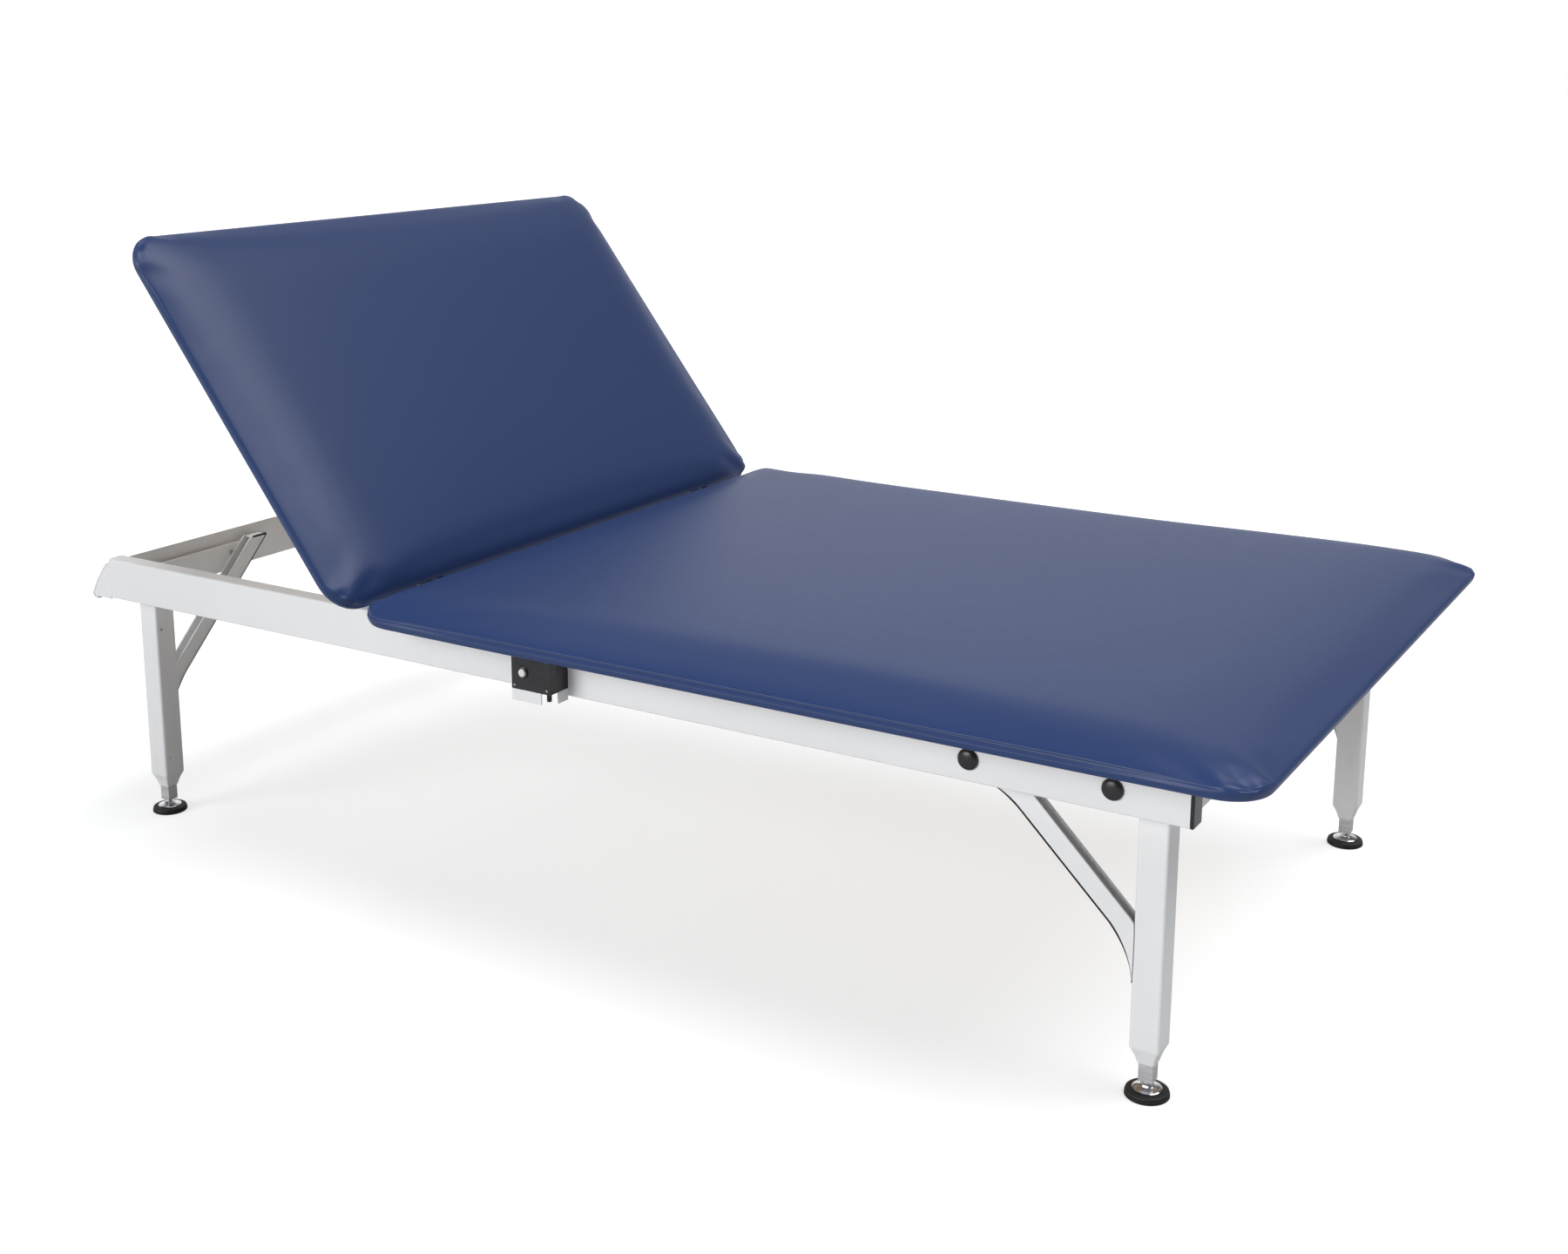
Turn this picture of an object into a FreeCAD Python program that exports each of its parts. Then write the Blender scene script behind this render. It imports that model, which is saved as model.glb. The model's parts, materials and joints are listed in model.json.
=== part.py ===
import FreeCAD, Part
import math
import os

import Sketcher

# Wide examination couch with a powered backrest.
# Frame: +X towards the foot end, -Y is the side with the control box, +Z up.
# The origin is the middle of the floor area under the couch.
# Pieces of the backrest are drawn flat, in a frame on the hinge axis, and turned up as one.

DRIVING = {
    "frame_width": 1072, "rail_length": 1961, "rail_height": 72, "rail_wide": 31,
    "rail_wall": 3, "rail_base": 402, "foot_overhang": 109, "guard_reach": 49,
    "pad_width": 1219, "pad_thick": 49, "pad_corner": 60, "pad_edge": 24,
    "board_thick": 15, "board_inset": 14, "seat_start": 642, "buffer_thick": 3,
    "hinge_place": 605, "hinge_rise": 480, "back_angle": 52, "back_length": 711,
    "back_end_gap": 4, "lug_side": 400, "lug_gap": 32, "lug_plate": 6, "hinge_pin_dia": 12,
    "leg_side": 42, "leg_wall": 3, "leg_straight_base": 70, "leg_taper_base": 48,
    "neck_side": 20, "neck_base": 22, "head_leg_start": 33, "foot_leg_start": 1884,
    "brace_depth": 40, "brace_wide": 22, "brace_wall": 3, "foot_rail_thick": 27,
    "foot_rail_recess": 8, "plate_thick": 5, "bolt_spacing": 200, "bolt_dia": 10,
    "cap_dia": 30, "cap_rise": 7, "tube_side": 25, "tube_wall": 2, "tube_round": 3.5, "leg_round": 4,
    "stem_dia": 10, "foot_dia": 62, "cup_dia": 46, "pad_foot_thick": 10,
    "pivot_back": 10, "pivot_drop": 85, "stroke_angle": 53.305, "rod_reach": 356.36,
    "actuator_pin_dia": 12, "slot_wide": 15, "slot_length": 32, "slot_shift": 3.2, "lever_radius": 300,
    "lever_angle": 10, "slot_angle": 54, "control_start": 933, "control_length": 72,
    "control_depth": 43, "control_height": 57, "button_dia": 13, "button_travel": 3,
}

doc = FreeCAD.newDocument("examination_couch")
sheet = doc.addObject("Spreadsheet::Sheet", "dims")
for row, (alias, number) in enumerate(DRIVING.items(), start=1):
    sheet.set("A%d" % row, alias)
    sheet.set("B%d" % row, str(number))
    sheet.setAlias("B%d" % row, alias)
doc.recompute()

RAIL_START = "(-(dims.rail_length + dims.foot_overhang - dims.guard_reach) / 2)"
RAIL_TOP = "(dims.rail_base + dims.rail_height)"
INNER_HALF = "(dims.frame_width / 2 - dims.rail_wide)"
HALF_WIDTH = "(dims.frame_width / 2)"
HINGE_X = "(%s + dims.hinge_place)" % RAIL_START
SIDES = (("near", -1), ("far", 1))
ENDS = ("head", "foot")
FINISHED = []


def value(expression):
    """The number that an expression on the sheet gives."""
    result = sheet.evalExpression(expression.replace("dims.", ""))
    return float(getattr(result, "Value", result))


def along(distance):
    """A place on X, given from the head end of the side rails."""
    return "(%s + %s)" % (RAIL_START, distance)


def bind(thing, **settings):
    """Binds properties to expressions."""
    for name, expression in settings.items():
        thing.setExpression(name, str(expression))
    return thing


def put(thing, place=(0, 0, 0), turn=None, axis=(0, 1, 0)):
    """Binds a placement: a base of three expressions and a turn about an axis."""
    if turn is not None:
        thing.Placement = FreeCAD.Placement(
            FreeCAD.Vector(), FreeCAD.Rotation(FreeCAD.Vector(*axis), 10))
        thing.setExpression("Placement.Rotation.Angle", str(turn))
    for letter, expression in zip("xyz", place):
        thing.setExpression("Placement.Base." + letter, str(expression))
    return thing


def finish(thing, label):
    """Names a finished sub-part."""
    thing.Label = label
    FINISHED.append(thing)
    return thing


def box(name, size, place=(0, 0, 0)):
    thing = doc.addObject("Part::Box", name)
    bind(thing, Length=size[0], Width=size[1], Height=size[2])
    return put(thing, place)


def rod(name, radius, length, place=(0, 0, 0), direction="z"):
    """A cylinder that starts at a place and runs along +X, +Y or +Z."""
    thing = doc.addObject("Part::Cylinder", name)
    bind(thing, Radius=radius, Height=length)
    turns = {"z": (None, (0, 1, 0)), "x": (90, (0, 1, 0)), "y": (-90, (1, 0, 0))}
    turn, axis = turns[direction]
    return put(thing, place, turn, axis)


def group(name, things):
    thing = doc.addObject("Part::Compound", name)
    thing.Links = things
    return thing


def cut(name, base, tools):
    thing = doc.addObject("Part::Cut", name)
    thing.Base = base
    thing.Tool = tools[0] if len(tools) == 1 else join(name + "_tools", tools)
    return thing


def join(name, things):
    thing = doc.addObject("Part::MultiFuse", name)
    thing.Shapes = things
    return thing


def plane_of(body, role):
    return next(f for f in body.Origin.OriginFeatures if f.Role == role)


def outline(body, name, points, role="XZ_Plane"):
    """A closed sketch of straight lines through points, each held by two bound distances."""
    sketch = body.newObject("Sketcher::SketchObject", name)
    sketch.AttachmentSupport = (plane_of(body, role), [""])
    sketch.MapMode = "FlatFace"
    corners = [FreeCAD.Vector(value(str(x)), value(str(y)), 0) for x, y in points]
    for here, there in zip(corners, corners[1:] + corners[:1]):
        sketch.addGeometry(Part.LineSegment(here, there))
    for line in range(len(corners)):
        following = (line + 1) % len(corners)
        sketch.addConstraint(Sketcher.Constraint("Coincident", line, 2, following, 1))
    for line, (x, y) in enumerate(points):
        for kind, expression in (("DistanceX", x), ("DistanceY", y)):
            start = value(str(expression))
            index = sketch.addConstraint(Sketcher.Constraint(kind, -1, 1, line, 1, start))
            sketch.setExpression("Constraints[%d]" % index, str(expression))
    return sketch


def pad(body, name, sketch, length, middle=True):
    feature = body.newObject("PartDesign::Pad", name)
    feature.Profile = sketch
    feature.Midplane = middle
    bind(feature, Length=length)
    return feature


def pocket(body, name, sketch, length, middle=True):
    feature = body.newObject("PartDesign::Pocket", name)
    feature.Profile = sketch
    feature.Midplane = middle
    bind(feature, Length=length)
    return feature


def rectangle(low_x, low_y, high_x, high_y):
    return [(low_x, low_y), (high_x, low_y), (high_x, high_y), (low_x, high_y)]


def prism(name, points, length, role="XZ_Plane", hollow=None, hollow_length=None):
    """A body padded both ways from a plane, with an optional outline cut out of it."""
    body = doc.addObject("PartDesign::Body", name)
    pad(body, name + "_pad", outline(body, name + "_outline", points, role), length)
    if hollow:
        doc.recompute()
        before = body.Shape.Volume
        inner = outline(body, name + "_inner", hollow, role)
        pocket(body, name + "_pocket", inner, hollow_length or length)
        doc.recompute()
        if not body.Shape.Volume < before:
            raise ValueError(name + ": the pocket cuts nothing")
    return body


def round_edges(body, name, base, indices, radius):
    """Fillets the edges of a feature, given by their places in its list of edges."""
    fillet = body.newObject("PartDesign::Fillet", name)
    fillet.Base = (base, ["Edge%d" % (index + 1) for index in indices])
    bind(fillet, Radius=radius)
    doc.recompute()
    return fillet


def tube(name, width, height, wall, length, role):
    """A rectangular tube with rounded corners, centred on its own origin, along a plane's normal."""
    body = doc.addObject("PartDesign::Body", name)
    outer = rectangle("-(%s) / 2" % width, "-(%s) / 2" % height,
                      "(%s) / 2" % width, "(%s) / 2" % height)
    inner = rectangle("-(%s) / 2 + %s" % (width, wall), "-(%s) / 2 + %s" % (height, wall),
                      "(%s) / 2 - %s" % (width, wall), "(%s) / 2 - %s" % (height, wall))
    solid = pad(body, name + "_pad", outline(body, name + "_outline", outer, role), length)
    doc.recompute()
    full = value(str(length))
    long_edges = [index for index, edge in enumerate(body.Shape.Edges)
                  if abs(edge.Length - full) < 0.01]
    round_edges(body, name + "_corners", solid, long_edges, "dims.tube_round")
    before = body.Shape.Volume
    pocket(body, name + "_bore", outline(body, name + "_inner", inner, role), length)
    doc.recompute()
    if not body.Shape.Volume < before:
        raise ValueError(name + ": the bore cuts nothing")
    return body


# ---------------------------------------------------------------- main frame

def bolt_places(end):
    """The two bolts of each leg: distances along the foot rails, or in from the middle."""
    if end == "foot":
        first = "(dims.foot_leg_start - 24)"
        return [first, "(%s - dims.bolt_spacing)" % first]
    first = "(%s - 21)" % INNER_HALF
    return [first, "(%s - dims.bolt_spacing)" % first]


BOLT_RISE = "(dims.rail_base + 32)"


def side_rails():
    middle = "(%s - dims.rail_wide / 2)" % HALF_WIDTH
    for side, sign in SIDES:
        name = "side_rail_" + side
        body = tube(name + "_tube", "dims.rail_wide", "dims.rail_height", "dims.rail_wall",
                    "dims.rail_length", "YZ_Plane")
        put(body, (along("dims.rail_length / 2"), "%d * %s" % (sign, middle),
                   "dims.rail_base + dims.rail_height / 2"))
        holes = [rod("%s_hole_%d" % (name, count), "dims.bolt_dia / 2 + 0.5", "dims.rail_wide * 2",
                     (along(place), "%d * %s - dims.rail_wide" % (sign, middle), BOLT_RISE), "y")
                 for count, place in enumerate(bolt_places("foot"))]
        finish(cut(name, body, holes), name)


def head_guard():
    """The folded sheet at the head end: a web between the rails and a sloping outer skin."""
    sheet_thick = 3
    base, top = "dims.rail_base", RAIL_TOP
    outer = [("18", top), ("0", top + " - 7"), ("-10", top + " - 10"),
             ("-dims.guard_reach + 15", base + " + 31"), ("-dims.guard_reach", base + " + 3"),
             ("-dims.guard_reach + 4", base + " - 5"), ("-dims.guard_reach + 14", base + " - 6")]
    inner = [("-dims.guard_reach + 14", base + " - 3"), ("-dims.guard_reach + 6", base + " - 2"),
             ("-dims.guard_reach + 3.4", base + " + 3"), ("-dims.guard_reach + 17.5", base + " + 29"),
             ("-8", top + " - 13"), ("1", top + " - 10"), ("15", top + " - 4"),
             ("15", base), ("18", base)]
    skin = prism("head_rail_skin", outer + inner, "dims.frame_width")
    put(skin, (along(0), 0, 0))
    corners = [box("head_rail_corner_%s" % side, ("40", "dims.rail_wide + 1", "dims.rail_height + 20"),
                   (along(0), ("%s" % INNER_HALF) if sign > 0 else "-%s - 1" % HALF_WIDTH,
                    "dims.rail_base - 10"))
               for side, sign in SIDES]
    holes = []
    for side, sign in SIDES:
        for count, place in enumerate(bolt_places("head")):
            holes.append(rod("head_rail_hole_%s_%d" % (side, count), "dims.bolt_dia / 2 + 0.5", "20",
                             (along(8), "%d * %s" % (sign, place), BOLT_RISE), "x"))
    finish(cut("head_rail", skin, corners + holes), "head_rail")
    plates = []
    wedge = [("0", base + " - 2"), ("0", top + " - 10.4"), ("-8.2", top + " - 13.4"),
             ("-dims.guard_reach + 17.8", base + " + 29"), ("-dims.guard_reach + 3.8", base + " + 3"),
             ("-dims.guard_reach + 7", base + " - 2")]
    for side, sign in SIDES:
        plate = prism("head_rail_end_plate_" + side, wedge, str(sheet_thick))
        plates.append(put(plate, (along(0), "%d * (%s - %g)" % (sign, HALF_WIDTH, sheet_thick / 2), 0)))
    finish(group("head_rail_end_plates", plates), "head_rail_end_plates")


def cross_tubes():
    """The foot rail, the tube that carries the hinge and the two bearers under the seat."""
    span = "2 * %s" % INNER_HALF
    foot = tube("foot_rail", "dims.foot_rail_thick", "dims.rail_height", "dims.rail_wall", span, "XZ_Plane")
    put(foot, (along("dims.rail_length - dims.foot_rail_recess - dims.foot_rail_thick / 2"), 0,
               "dims.rail_base + dims.rail_height / 2"))
    finish(foot, "foot_rail")
    hinge = tube("hinge_cross_tube", "40", "50", "dims.rail_wall", span, "XZ_Plane")
    put(hinge, (along("dims.seat_start + 3"), 0, "%s - 25" % RAIL_TOP))
    finish(hinge, "hinge_cross_tube")
    bearers = []
    for count, place in enumerate((1080, 1500)):
        bearer = tube("seat_bearer_%d" % count, "40", "30", "dims.tube_wall", span, "XZ_Plane")
        bearers.append(put(bearer, (along(place), 0, "%s - 15" % RAIL_TOP)))
    finish(group("seat_bearers", bearers), "seat_bearers")


def rail_end_caps():
    """Plastic plugs in the open foot ends of the side rails, each with a flange."""
    plugs = []
    inside = "(dims.rail_wide - 2 * dims.rail_wall - 0.4)"
    inside_height = "(dims.rail_height - 2 * dims.rail_wall - 0.4)"
    for side, sign in SIDES:
        flange_y = "-%s" % HALF_WIDTH if sign < 0 else INNER_HALF
        flange = box("cap_flange_" + side, ("5", "dims.rail_wide", "dims.rail_height"),
                     (along("dims.rail_length"), flange_y, "dims.rail_base"))
        plug = box("cap_plug_" + side, ("15", inside, inside_height),
                   (along("dims.rail_length - 15"), flange_y + " + dims.rail_wall + 0.2",
                    "dims.rail_base + dims.rail_wall + 0.2"))
        plugs.append(join("cap_" + side, [flange, plug]))
    finish(group("rail_end_caps", plugs), "rail_end_caps")


# ---------------------------------------------------------------- legs

LEG_TOP = "(%s - 26)" % RAIL_TOP
LEG_CENTRE_Y = "(%s - dims.leg_side / 2)" % INNER_HALF


def leg_centre(end):
    return "(dims.%s_leg_start + dims.leg_side / 2)" % end


def leg(end, side, sign):
    """A square tube with its lower end swaged down to the size of the neck."""
    name = "leg_%s_%s" % (end, side)
    body = doc.addObject("PartDesign::Body", name)
    half, small = "dims.leg_side / 2", "(dims.neck_side / 2 + 2)"
    wide = outline(body, name + "_wide", rectangle("-" + half, "-" + half, half, half), "XY_Plane")
    narrow = outline(body, name + "_narrow", rectangle("-" + small, "-" + small, small, small), "XY_Plane")
    narrow.setExpression("AttachmentOffset.Base.z", "-(dims.leg_straight_base - dims.leg_taper_base)")
    pad(body, name + "_tube", wide, "%s - dims.leg_straight_base" % LEG_TOP, middle=False)
    taper = body.newObject("PartDesign::AdditiveLoft", name + "_taper")
    taper.Profile = wide
    taper.Sections = [narrow]
    doc.recompute()
    upright = [index for index, edge in enumerate(body.Shape.Edges)
               if edge.BoundBox.ZLength > value("dims.leg_straight_base - dims.leg_taper_base") - 0.01]
    round_edges(body, name + "_corners", taper, upright, "dims.leg_round")
    solid = body.Shape.Volume
    inner = outline(body, name + "_inner", rectangle(
        "-%s + dims.leg_wall" % half, "-%s + dims.leg_wall" % half,
        "%s - dims.leg_wall" % half, "%s - dims.leg_wall" % half), "XY_Plane")
    inner.setExpression("AttachmentOffset.Base.z", "%s - dims.leg_straight_base - 4" % LEG_TOP)
    pocket(body, name + "_bore", inner, "%s - dims.leg_straight_base - 4" % LEG_TOP, middle=False)
    doc.recompute()
    if not body.Shape.Volume < solid:
        raise ValueError(name + ": the bore cuts nothing")
    put(body, (along(leg_centre(end)), "%d * %s" % (sign, LEG_CENTRE_Y), "dims.leg_straight_base"))
    finish(body, name)


def foot_brace(side, sign):
    """A pressed channel at 45 degrees from a foot leg up to the leg's plate."""
    name = "brace_foot_" + side
    corner, low = "0", "dims.rail_base - dims.leg_side * 4.72"
    high = "(%s + dims.brace_depth)" % low
    rise_low, rise_high = "(dims.rail_base - (%s))" % low, "(dims.rail_base - %s)" % high
    outer = [(corner, low), (corner, high), ("-" + rise_high, "dims.rail_base"),
             ("-" + rise_low, "dims.rail_base")]
    wall = "dims.brace_wall * 1.4142"
    inner = [("1", "%s + %s - 1" % (low, wall)), ("1", high + " + 1"), ("1", "dims.rail_base + 1"),
             ("-%s + %s - 1" % (rise_low, wall), "dims.rail_base + 1")]
    body = prism(name, outer, "dims.brace_wide", "XZ_Plane", inner,
                 "dims.brace_wide - 2 * dims.brace_wall")
    put(body, (along("dims.foot_leg_start"),
               "%d * (%s - dims.brace_wide / 2)" % (sign, INNER_HALF), 0))
    finish(body, name)


def head_brace(side, sign):
    """The same channel at the head end, running inwards across the couch."""
    name = "brace_head_" + side
    start = "(%s - dims.leg_side)" % INNER_HALF
    low, top = "dims.rail_base - dims.leg_side * 4.6", "(%s - 14)" % RAIL_TOP
    high = "(%s + dims.brace_depth)" % low
    flip = "%d * " % sign
    outer = [(flip + start, low), (flip + start, high),
             (flip + "(%s - (%s - %s))" % (start, top, high), top),
             (flip + "(%s - (%s - (%s)))" % (start, top, low), top)]
    wall = "dims.brace_wall * 1.4142"
    inner = [(flip + "(%s + 1)" % start, "%s + %s - 1" % (low, wall)),
             (flip + "(%s + 1)" % start, top + " + 1"),
             (flip + "(%s - (%s - (%s)) + %s - 1)" % (start, top, low, wall), top + " + 1")]
    body = prism(name, outer, "dims.brace_wide", "YZ_Plane", inner,
                 "dims.brace_wide - 2 * dims.brace_wall")
    put(body, (along("dims.head_leg_start + dims.brace_wide / 2"), 0, 0))
    finish(body, name)


def leg_plates():
    """Flat plates that tie each leg and its brace to the rails, with spacers at the head end."""
    plates, spacers = [], []
    height = "(dims.rail_height - 24)"
    reach = "(dims.bolt_spacing + 44)"
    hole = "dims.bolt_dia / 2 + 0.5"
    for side, sign in SIDES:
        y_low = "%s - dims.plate_thick" % INNER_HALF if sign > 0 else "-%s" % INNER_HALF
        name = "leg_plate_foot_" + side
        plate = box(name + "_blank", (reach, "dims.plate_thick", height),
                    (along("dims.foot_leg_start - %s" % reach), y_low, "dims.rail_base"))
        holes = [rod("%s_hole_%d" % (name, count), hole, "20",
                     (along(place), y_low + " - 8", BOLT_RISE), "y")
                 for count, place in enumerate(bolt_places("foot"))]
        plates.append(cut(name, plate, holes))
        name = "leg_plate_head_" + side
        y_low = INNER_HALF + " - " + reach if sign > 0 else "-%s" % INNER_HALF
        plate = box(name + "_blank", ("dims.plate_thick", reach, height),
                    (along("dims.head_leg_start - dims.plate_thick"), y_low, "dims.rail_base"))
        holes = [rod("%s_hole_%d" % (name, count), hole, "20",
                     (along("dims.head_leg_start - 12"), "%d * %s" % (sign, place), BOLT_RISE), "x")
                 for count, place in enumerate(bolt_places("head"))]
        plates.append(cut(name, plate, holes))
        for count, place in enumerate(bolt_places("head")):
            spot = (along(18), "%d * %s" % (sign, place), BOLT_RISE)
            length = "dims.head_leg_start - dims.plate_thick - 18"
            outer = rod("spacer_%s_%d_outer" % (side, count), "14", length, spot, "x")
            inner = rod("spacer_%s_%d_inner" % (side, count), hole, length, spot, "x")
            spacers.append(cut("spacer_%s_%d" % (side, count), outer, [inner]))
    finish(group("leg_plates", plates), "leg_plates")
    finish(group("leg_plate_spacers", spacers), "leg_plate_spacers")


def domed_bolt(name, place, direction, length, nut_at):
    """A bolt along X or Y whose head is under a domed cap, with a nut at the other end."""
    x, y, z = place
    forward = direction[0] != "-"
    letter = direction[-1]

    def spot(offset):
        step = "%s(%s)" % ("+" if forward else "-", offset)
        return ("(%s)%s" % (x, step), y, z) if letter == "x" else (x, "(%s)%s" % (y, step), z)

    def run(part, radius, start, distance):
        begin = start if forward else "(%s) + (%s)" % (start, distance)
        return rod(name + part, radius, distance, spot(begin), letter)

    shank = run("_shank", "dims.bolt_dia / 2", 0, length)
    washer = run("_washer", "dims.cap_dia / 2", "-2.5", "2.5")
    dome = run("_dome", "dims.cap_dia / 2 - 3", "-dims.cap_rise", "dims.cap_rise - 2.5")
    nut = run("_nut", "8.5", nut_at, "8")
    return join(name, [shank, washer, dome, nut])


def leg_bolts():
    bolts = []
    for side, sign in SIDES:
        direction = "+y" if sign < 0 else "-y"
        for count, place in enumerate(bolt_places("foot")):
            spot = (along(place), "%d * %s" % (sign, HALF_WIDTH), BOLT_RISE)
            bolts.append(domed_bolt("foot_bolt_%s_%d" % (side, count), spot, direction,
                                    "dims.rail_wide + dims.plate_thick + 12",
                                    "dims.rail_wide + dims.plate_thick"))
        for count, place in enumerate(bolt_places("head")):
            spot = (along(15), "%d * %s" % (sign, place), BOLT_RISE)
            shank = rod("head_bolt_%s_%d_shank" % (side, count), "dims.bolt_dia / 2",
                        "dims.head_leg_start - 15", spot, "x")
            nut = rod("head_bolt_%s_%d_nut" % (side, count), "8.5", "6",
                      (along(9), spot[1], BOLT_RISE), "x")
            bolts.append(join("head_bolt_%s_%d" % (side, count), [shank, nut]))
    finish(group("leg_bolts", bolts), "leg_bolts")


def leg_necks():
    """Square inserts under the legs, tapped for the stems of the feet."""
    necks = []
    half = "dims.neck_side / 2"
    for end in ENDS:
        for side, sign in SIDES:
            name = "leg_neck_%s_%s" % (end, side)
            centre = (along(leg_centre(end)), "%d * %s" % (sign, LEG_CENTRE_Y))
            block = box(name + "_block", ("dims.neck_side", "dims.neck_side",
                                          "dims.leg_taper_base - dims.neck_base"),
                        ("%s - %s" % (centre[0], half), "%s - %s" % (centre[1], half), "dims.neck_base"))
            bore = rod(name + "_bore", "dims.stem_dia / 2 + 0.05",
                       "dims.leg_taper_base - dims.neck_base + 2",
                       (centre[0], centre[1], "dims.neck_base - 1"))
            necks.append(cut(name, block, [bore]))
    finish(group("leg_necks", necks), "leg_necks")


def levelling_foot(end, side, sign):
    """A threaded stem with its lock nut and bell, over a rubber base."""
    name = "%s_%s" % (end, side)
    centre = (along(leg_centre(end)), "%d * %s" % (sign, LEG_CENTRE_Y))

    def at(rise):
        return (centre[0], centre[1], str(rise))

    stem = rod("foot_stem_%s_rod" % name, "dims.stem_dia / 2", "dims.leg_taper_base - 18", at(12))
    bell = doc.addObject("Part::Cone", "foot_stem_%s_bell" % name)
    bind(bell, Radius1="dims.cup_dia / 2", Radius2="dims.cup_dia / 2 - 12",
         Height="17 - dims.pad_foot_thick")
    put(bell, at("dims.pad_foot_thick"))
    finish(join("foot_stem_" + name, [stem, bell]), "foot_stem_" + name)
    lower = doc.addObject("Part::Cone", "foot_pad_%s_base" % name)
    bind(lower, Radius1="dims.foot_dia / 2 - 1", Radius2="dims.foot_dia / 2 - 4",
         Height="dims.pad_foot_thick")
    put(lower, at(0))
    finish(lower, "foot_pad_" + name)


# ---------------------------------------------------------------- seat and backrest

def slab(name, low_x, high_x, half, thick, radius):
    """A body with a flat plan along +X and rounded corners, and its last feature."""
    body = doc.addObject("PartDesign::Body", name)
    plan = outline(body, name + "_plan", rectangle(low_x, "-" + half, high_x, half), "XY_Plane")
    block = pad(body, name + "_block", plan, thick, middle=False)
    doc.recompute()
    upright = [index for index, edge in enumerate(body.Shape.Edges)
               if abs(edge.tangentAt(edge.FirstParameter).z) > 0.9]
    return body, round_edges(body, name + "_corners", block, upright, radius)


def board(name, length, thick="dims.board_thick"):
    """The plywood board in a cushion's underside."""
    half = "(dims.pad_width / 2 - dims.board_inset)"
    body, _ = slab(name, "dims.board_inset", "%s - dims.board_inset" % length, half, thick,
                   "dims.pad_corner - dims.board_inset")
    return body


def cushion(name, length, thick, edge_round):
    """A rounded slab along +X with its board's place cut out of the underside."""
    body, corners = slab(name + "_foam", "0", length, "dims.pad_width / 2", thick, "dims.pad_corner")
    roof = value(thick)
    rim = [index for index, edge in enumerate(body.Shape.Edges)
           if edge.BoundBox.ZMin > roof - 0.01]
    round_edges(body, name + "_edges", corners, rim, edge_round)
    recess = put(board(name + "_recess", length, "dims.board_thick + 1"), (0, 0, -1))
    return cut(name, body, [recess])


def screw(name, place, length):
    """A pan-head screw that goes up into a board, from its head's underside."""
    x, y, z = place
    head = rod(name + "_head", "6", "3", (x, y, "%s - 3" % z))
    shank = rod(name + "_shank", "2.5", length, (x, y, z))
    return join(name, [head, shank])


SEAT_LENGTH = "(dims.rail_length + dims.foot_overhang - dims.seat_start)"
SEAT_X = along("dims.seat_start")


def seat():
    seat_pad = cushion("seat_pad", SEAT_LENGTH, "dims.pad_thick", "dims.pad_edge")
    put(seat_pad, (SEAT_X, 0, RAIL_TOP))
    finish(seat_pad, "seat_pad")
    clips, screws, holes = [], [], []
    for side, sign in SIDES:
        for count, place in enumerate((740, 1290, 1590)):
            name = "%s_%d" % (side, count)
            x = along(place)
            low_y = "%s - 34" % INNER_HALF if sign > 0 else "-%s" % INNER_HALF
            flat = box("clip_flat_" + name, ("40", "34", "4"), (x, low_y, "%s - 4" % RAIL_TOP))
            wall_y = "%s - 4" % INNER_HALF if sign > 0 else "-%s" % INNER_HALF
            upright = box("clip_upright_" + name, ("40", "4", "30"), (x, wall_y, "%s - 34" % RAIL_TOP))
            centre = (x + " + 20", "%d * (%s - 18)" % (sign, INNER_HALF), "%s - 4" % RAIL_TOP)
            through = rod("clip_hole_" + name, "2.8", "6", (centre[0], centre[1], "%s - 5" % RAIL_TOP))
            clips.append(cut("clip_" + name, join("clip_blank_" + name, [flat, upright]), [through]))
            screws.append(screw("seat_screw_" + name, centre, "14"))
            holes.append(rod("seat_hole_" + name, "2.8", "12",
                             (centre[0], centre[1], "%s - 1" % RAIL_TOP)))
    blank = put(board("seat_board_blank", SEAT_LENGTH), (SEAT_X, 0, RAIL_TOP))
    finish(cut("seat_board", blank, holes), "seat_board")
    finish(group("seat_clips", clips), "seat_clips")
    finish(group("seat_screws", screws), "seat_screws")


def turned(thing, label):
    """Stands a flat-drawn backrest piece on the hinge axis at the rest angle."""
    put(thing, (HINGE_X, 0, "dims.hinge_rise"), "dims.back_angle")
    return finish(thing, label)


BACK_BASE = "(%s + dims.buffer_thick - dims.hinge_rise)" % RAIL_TOP
BACK_START = "(dims.back_end_gap - dims.back_length - dims.back_end_gap)"
BACK_SPAN = "(dims.back_length + dims.back_end_gap)"
BACK_SCREWS = (-450, -310, -170, -80)
TUBE_HEAD = "(-515)"
TUBE_TAIL = "(-17)"


def hinge_relief(name):
    """Round notches about the hinge axis that clear the lugs."""
    wide = "(dims.lug_gap + 2 * dims.lug_plate + 30)"
    return [rod("%s_relief_%s" % (name, side), "19", wide,
                (0, "%d * dims.lug_side - %s / 2" % (sign, wide), 0), "y") for side, sign in SIDES]


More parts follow.
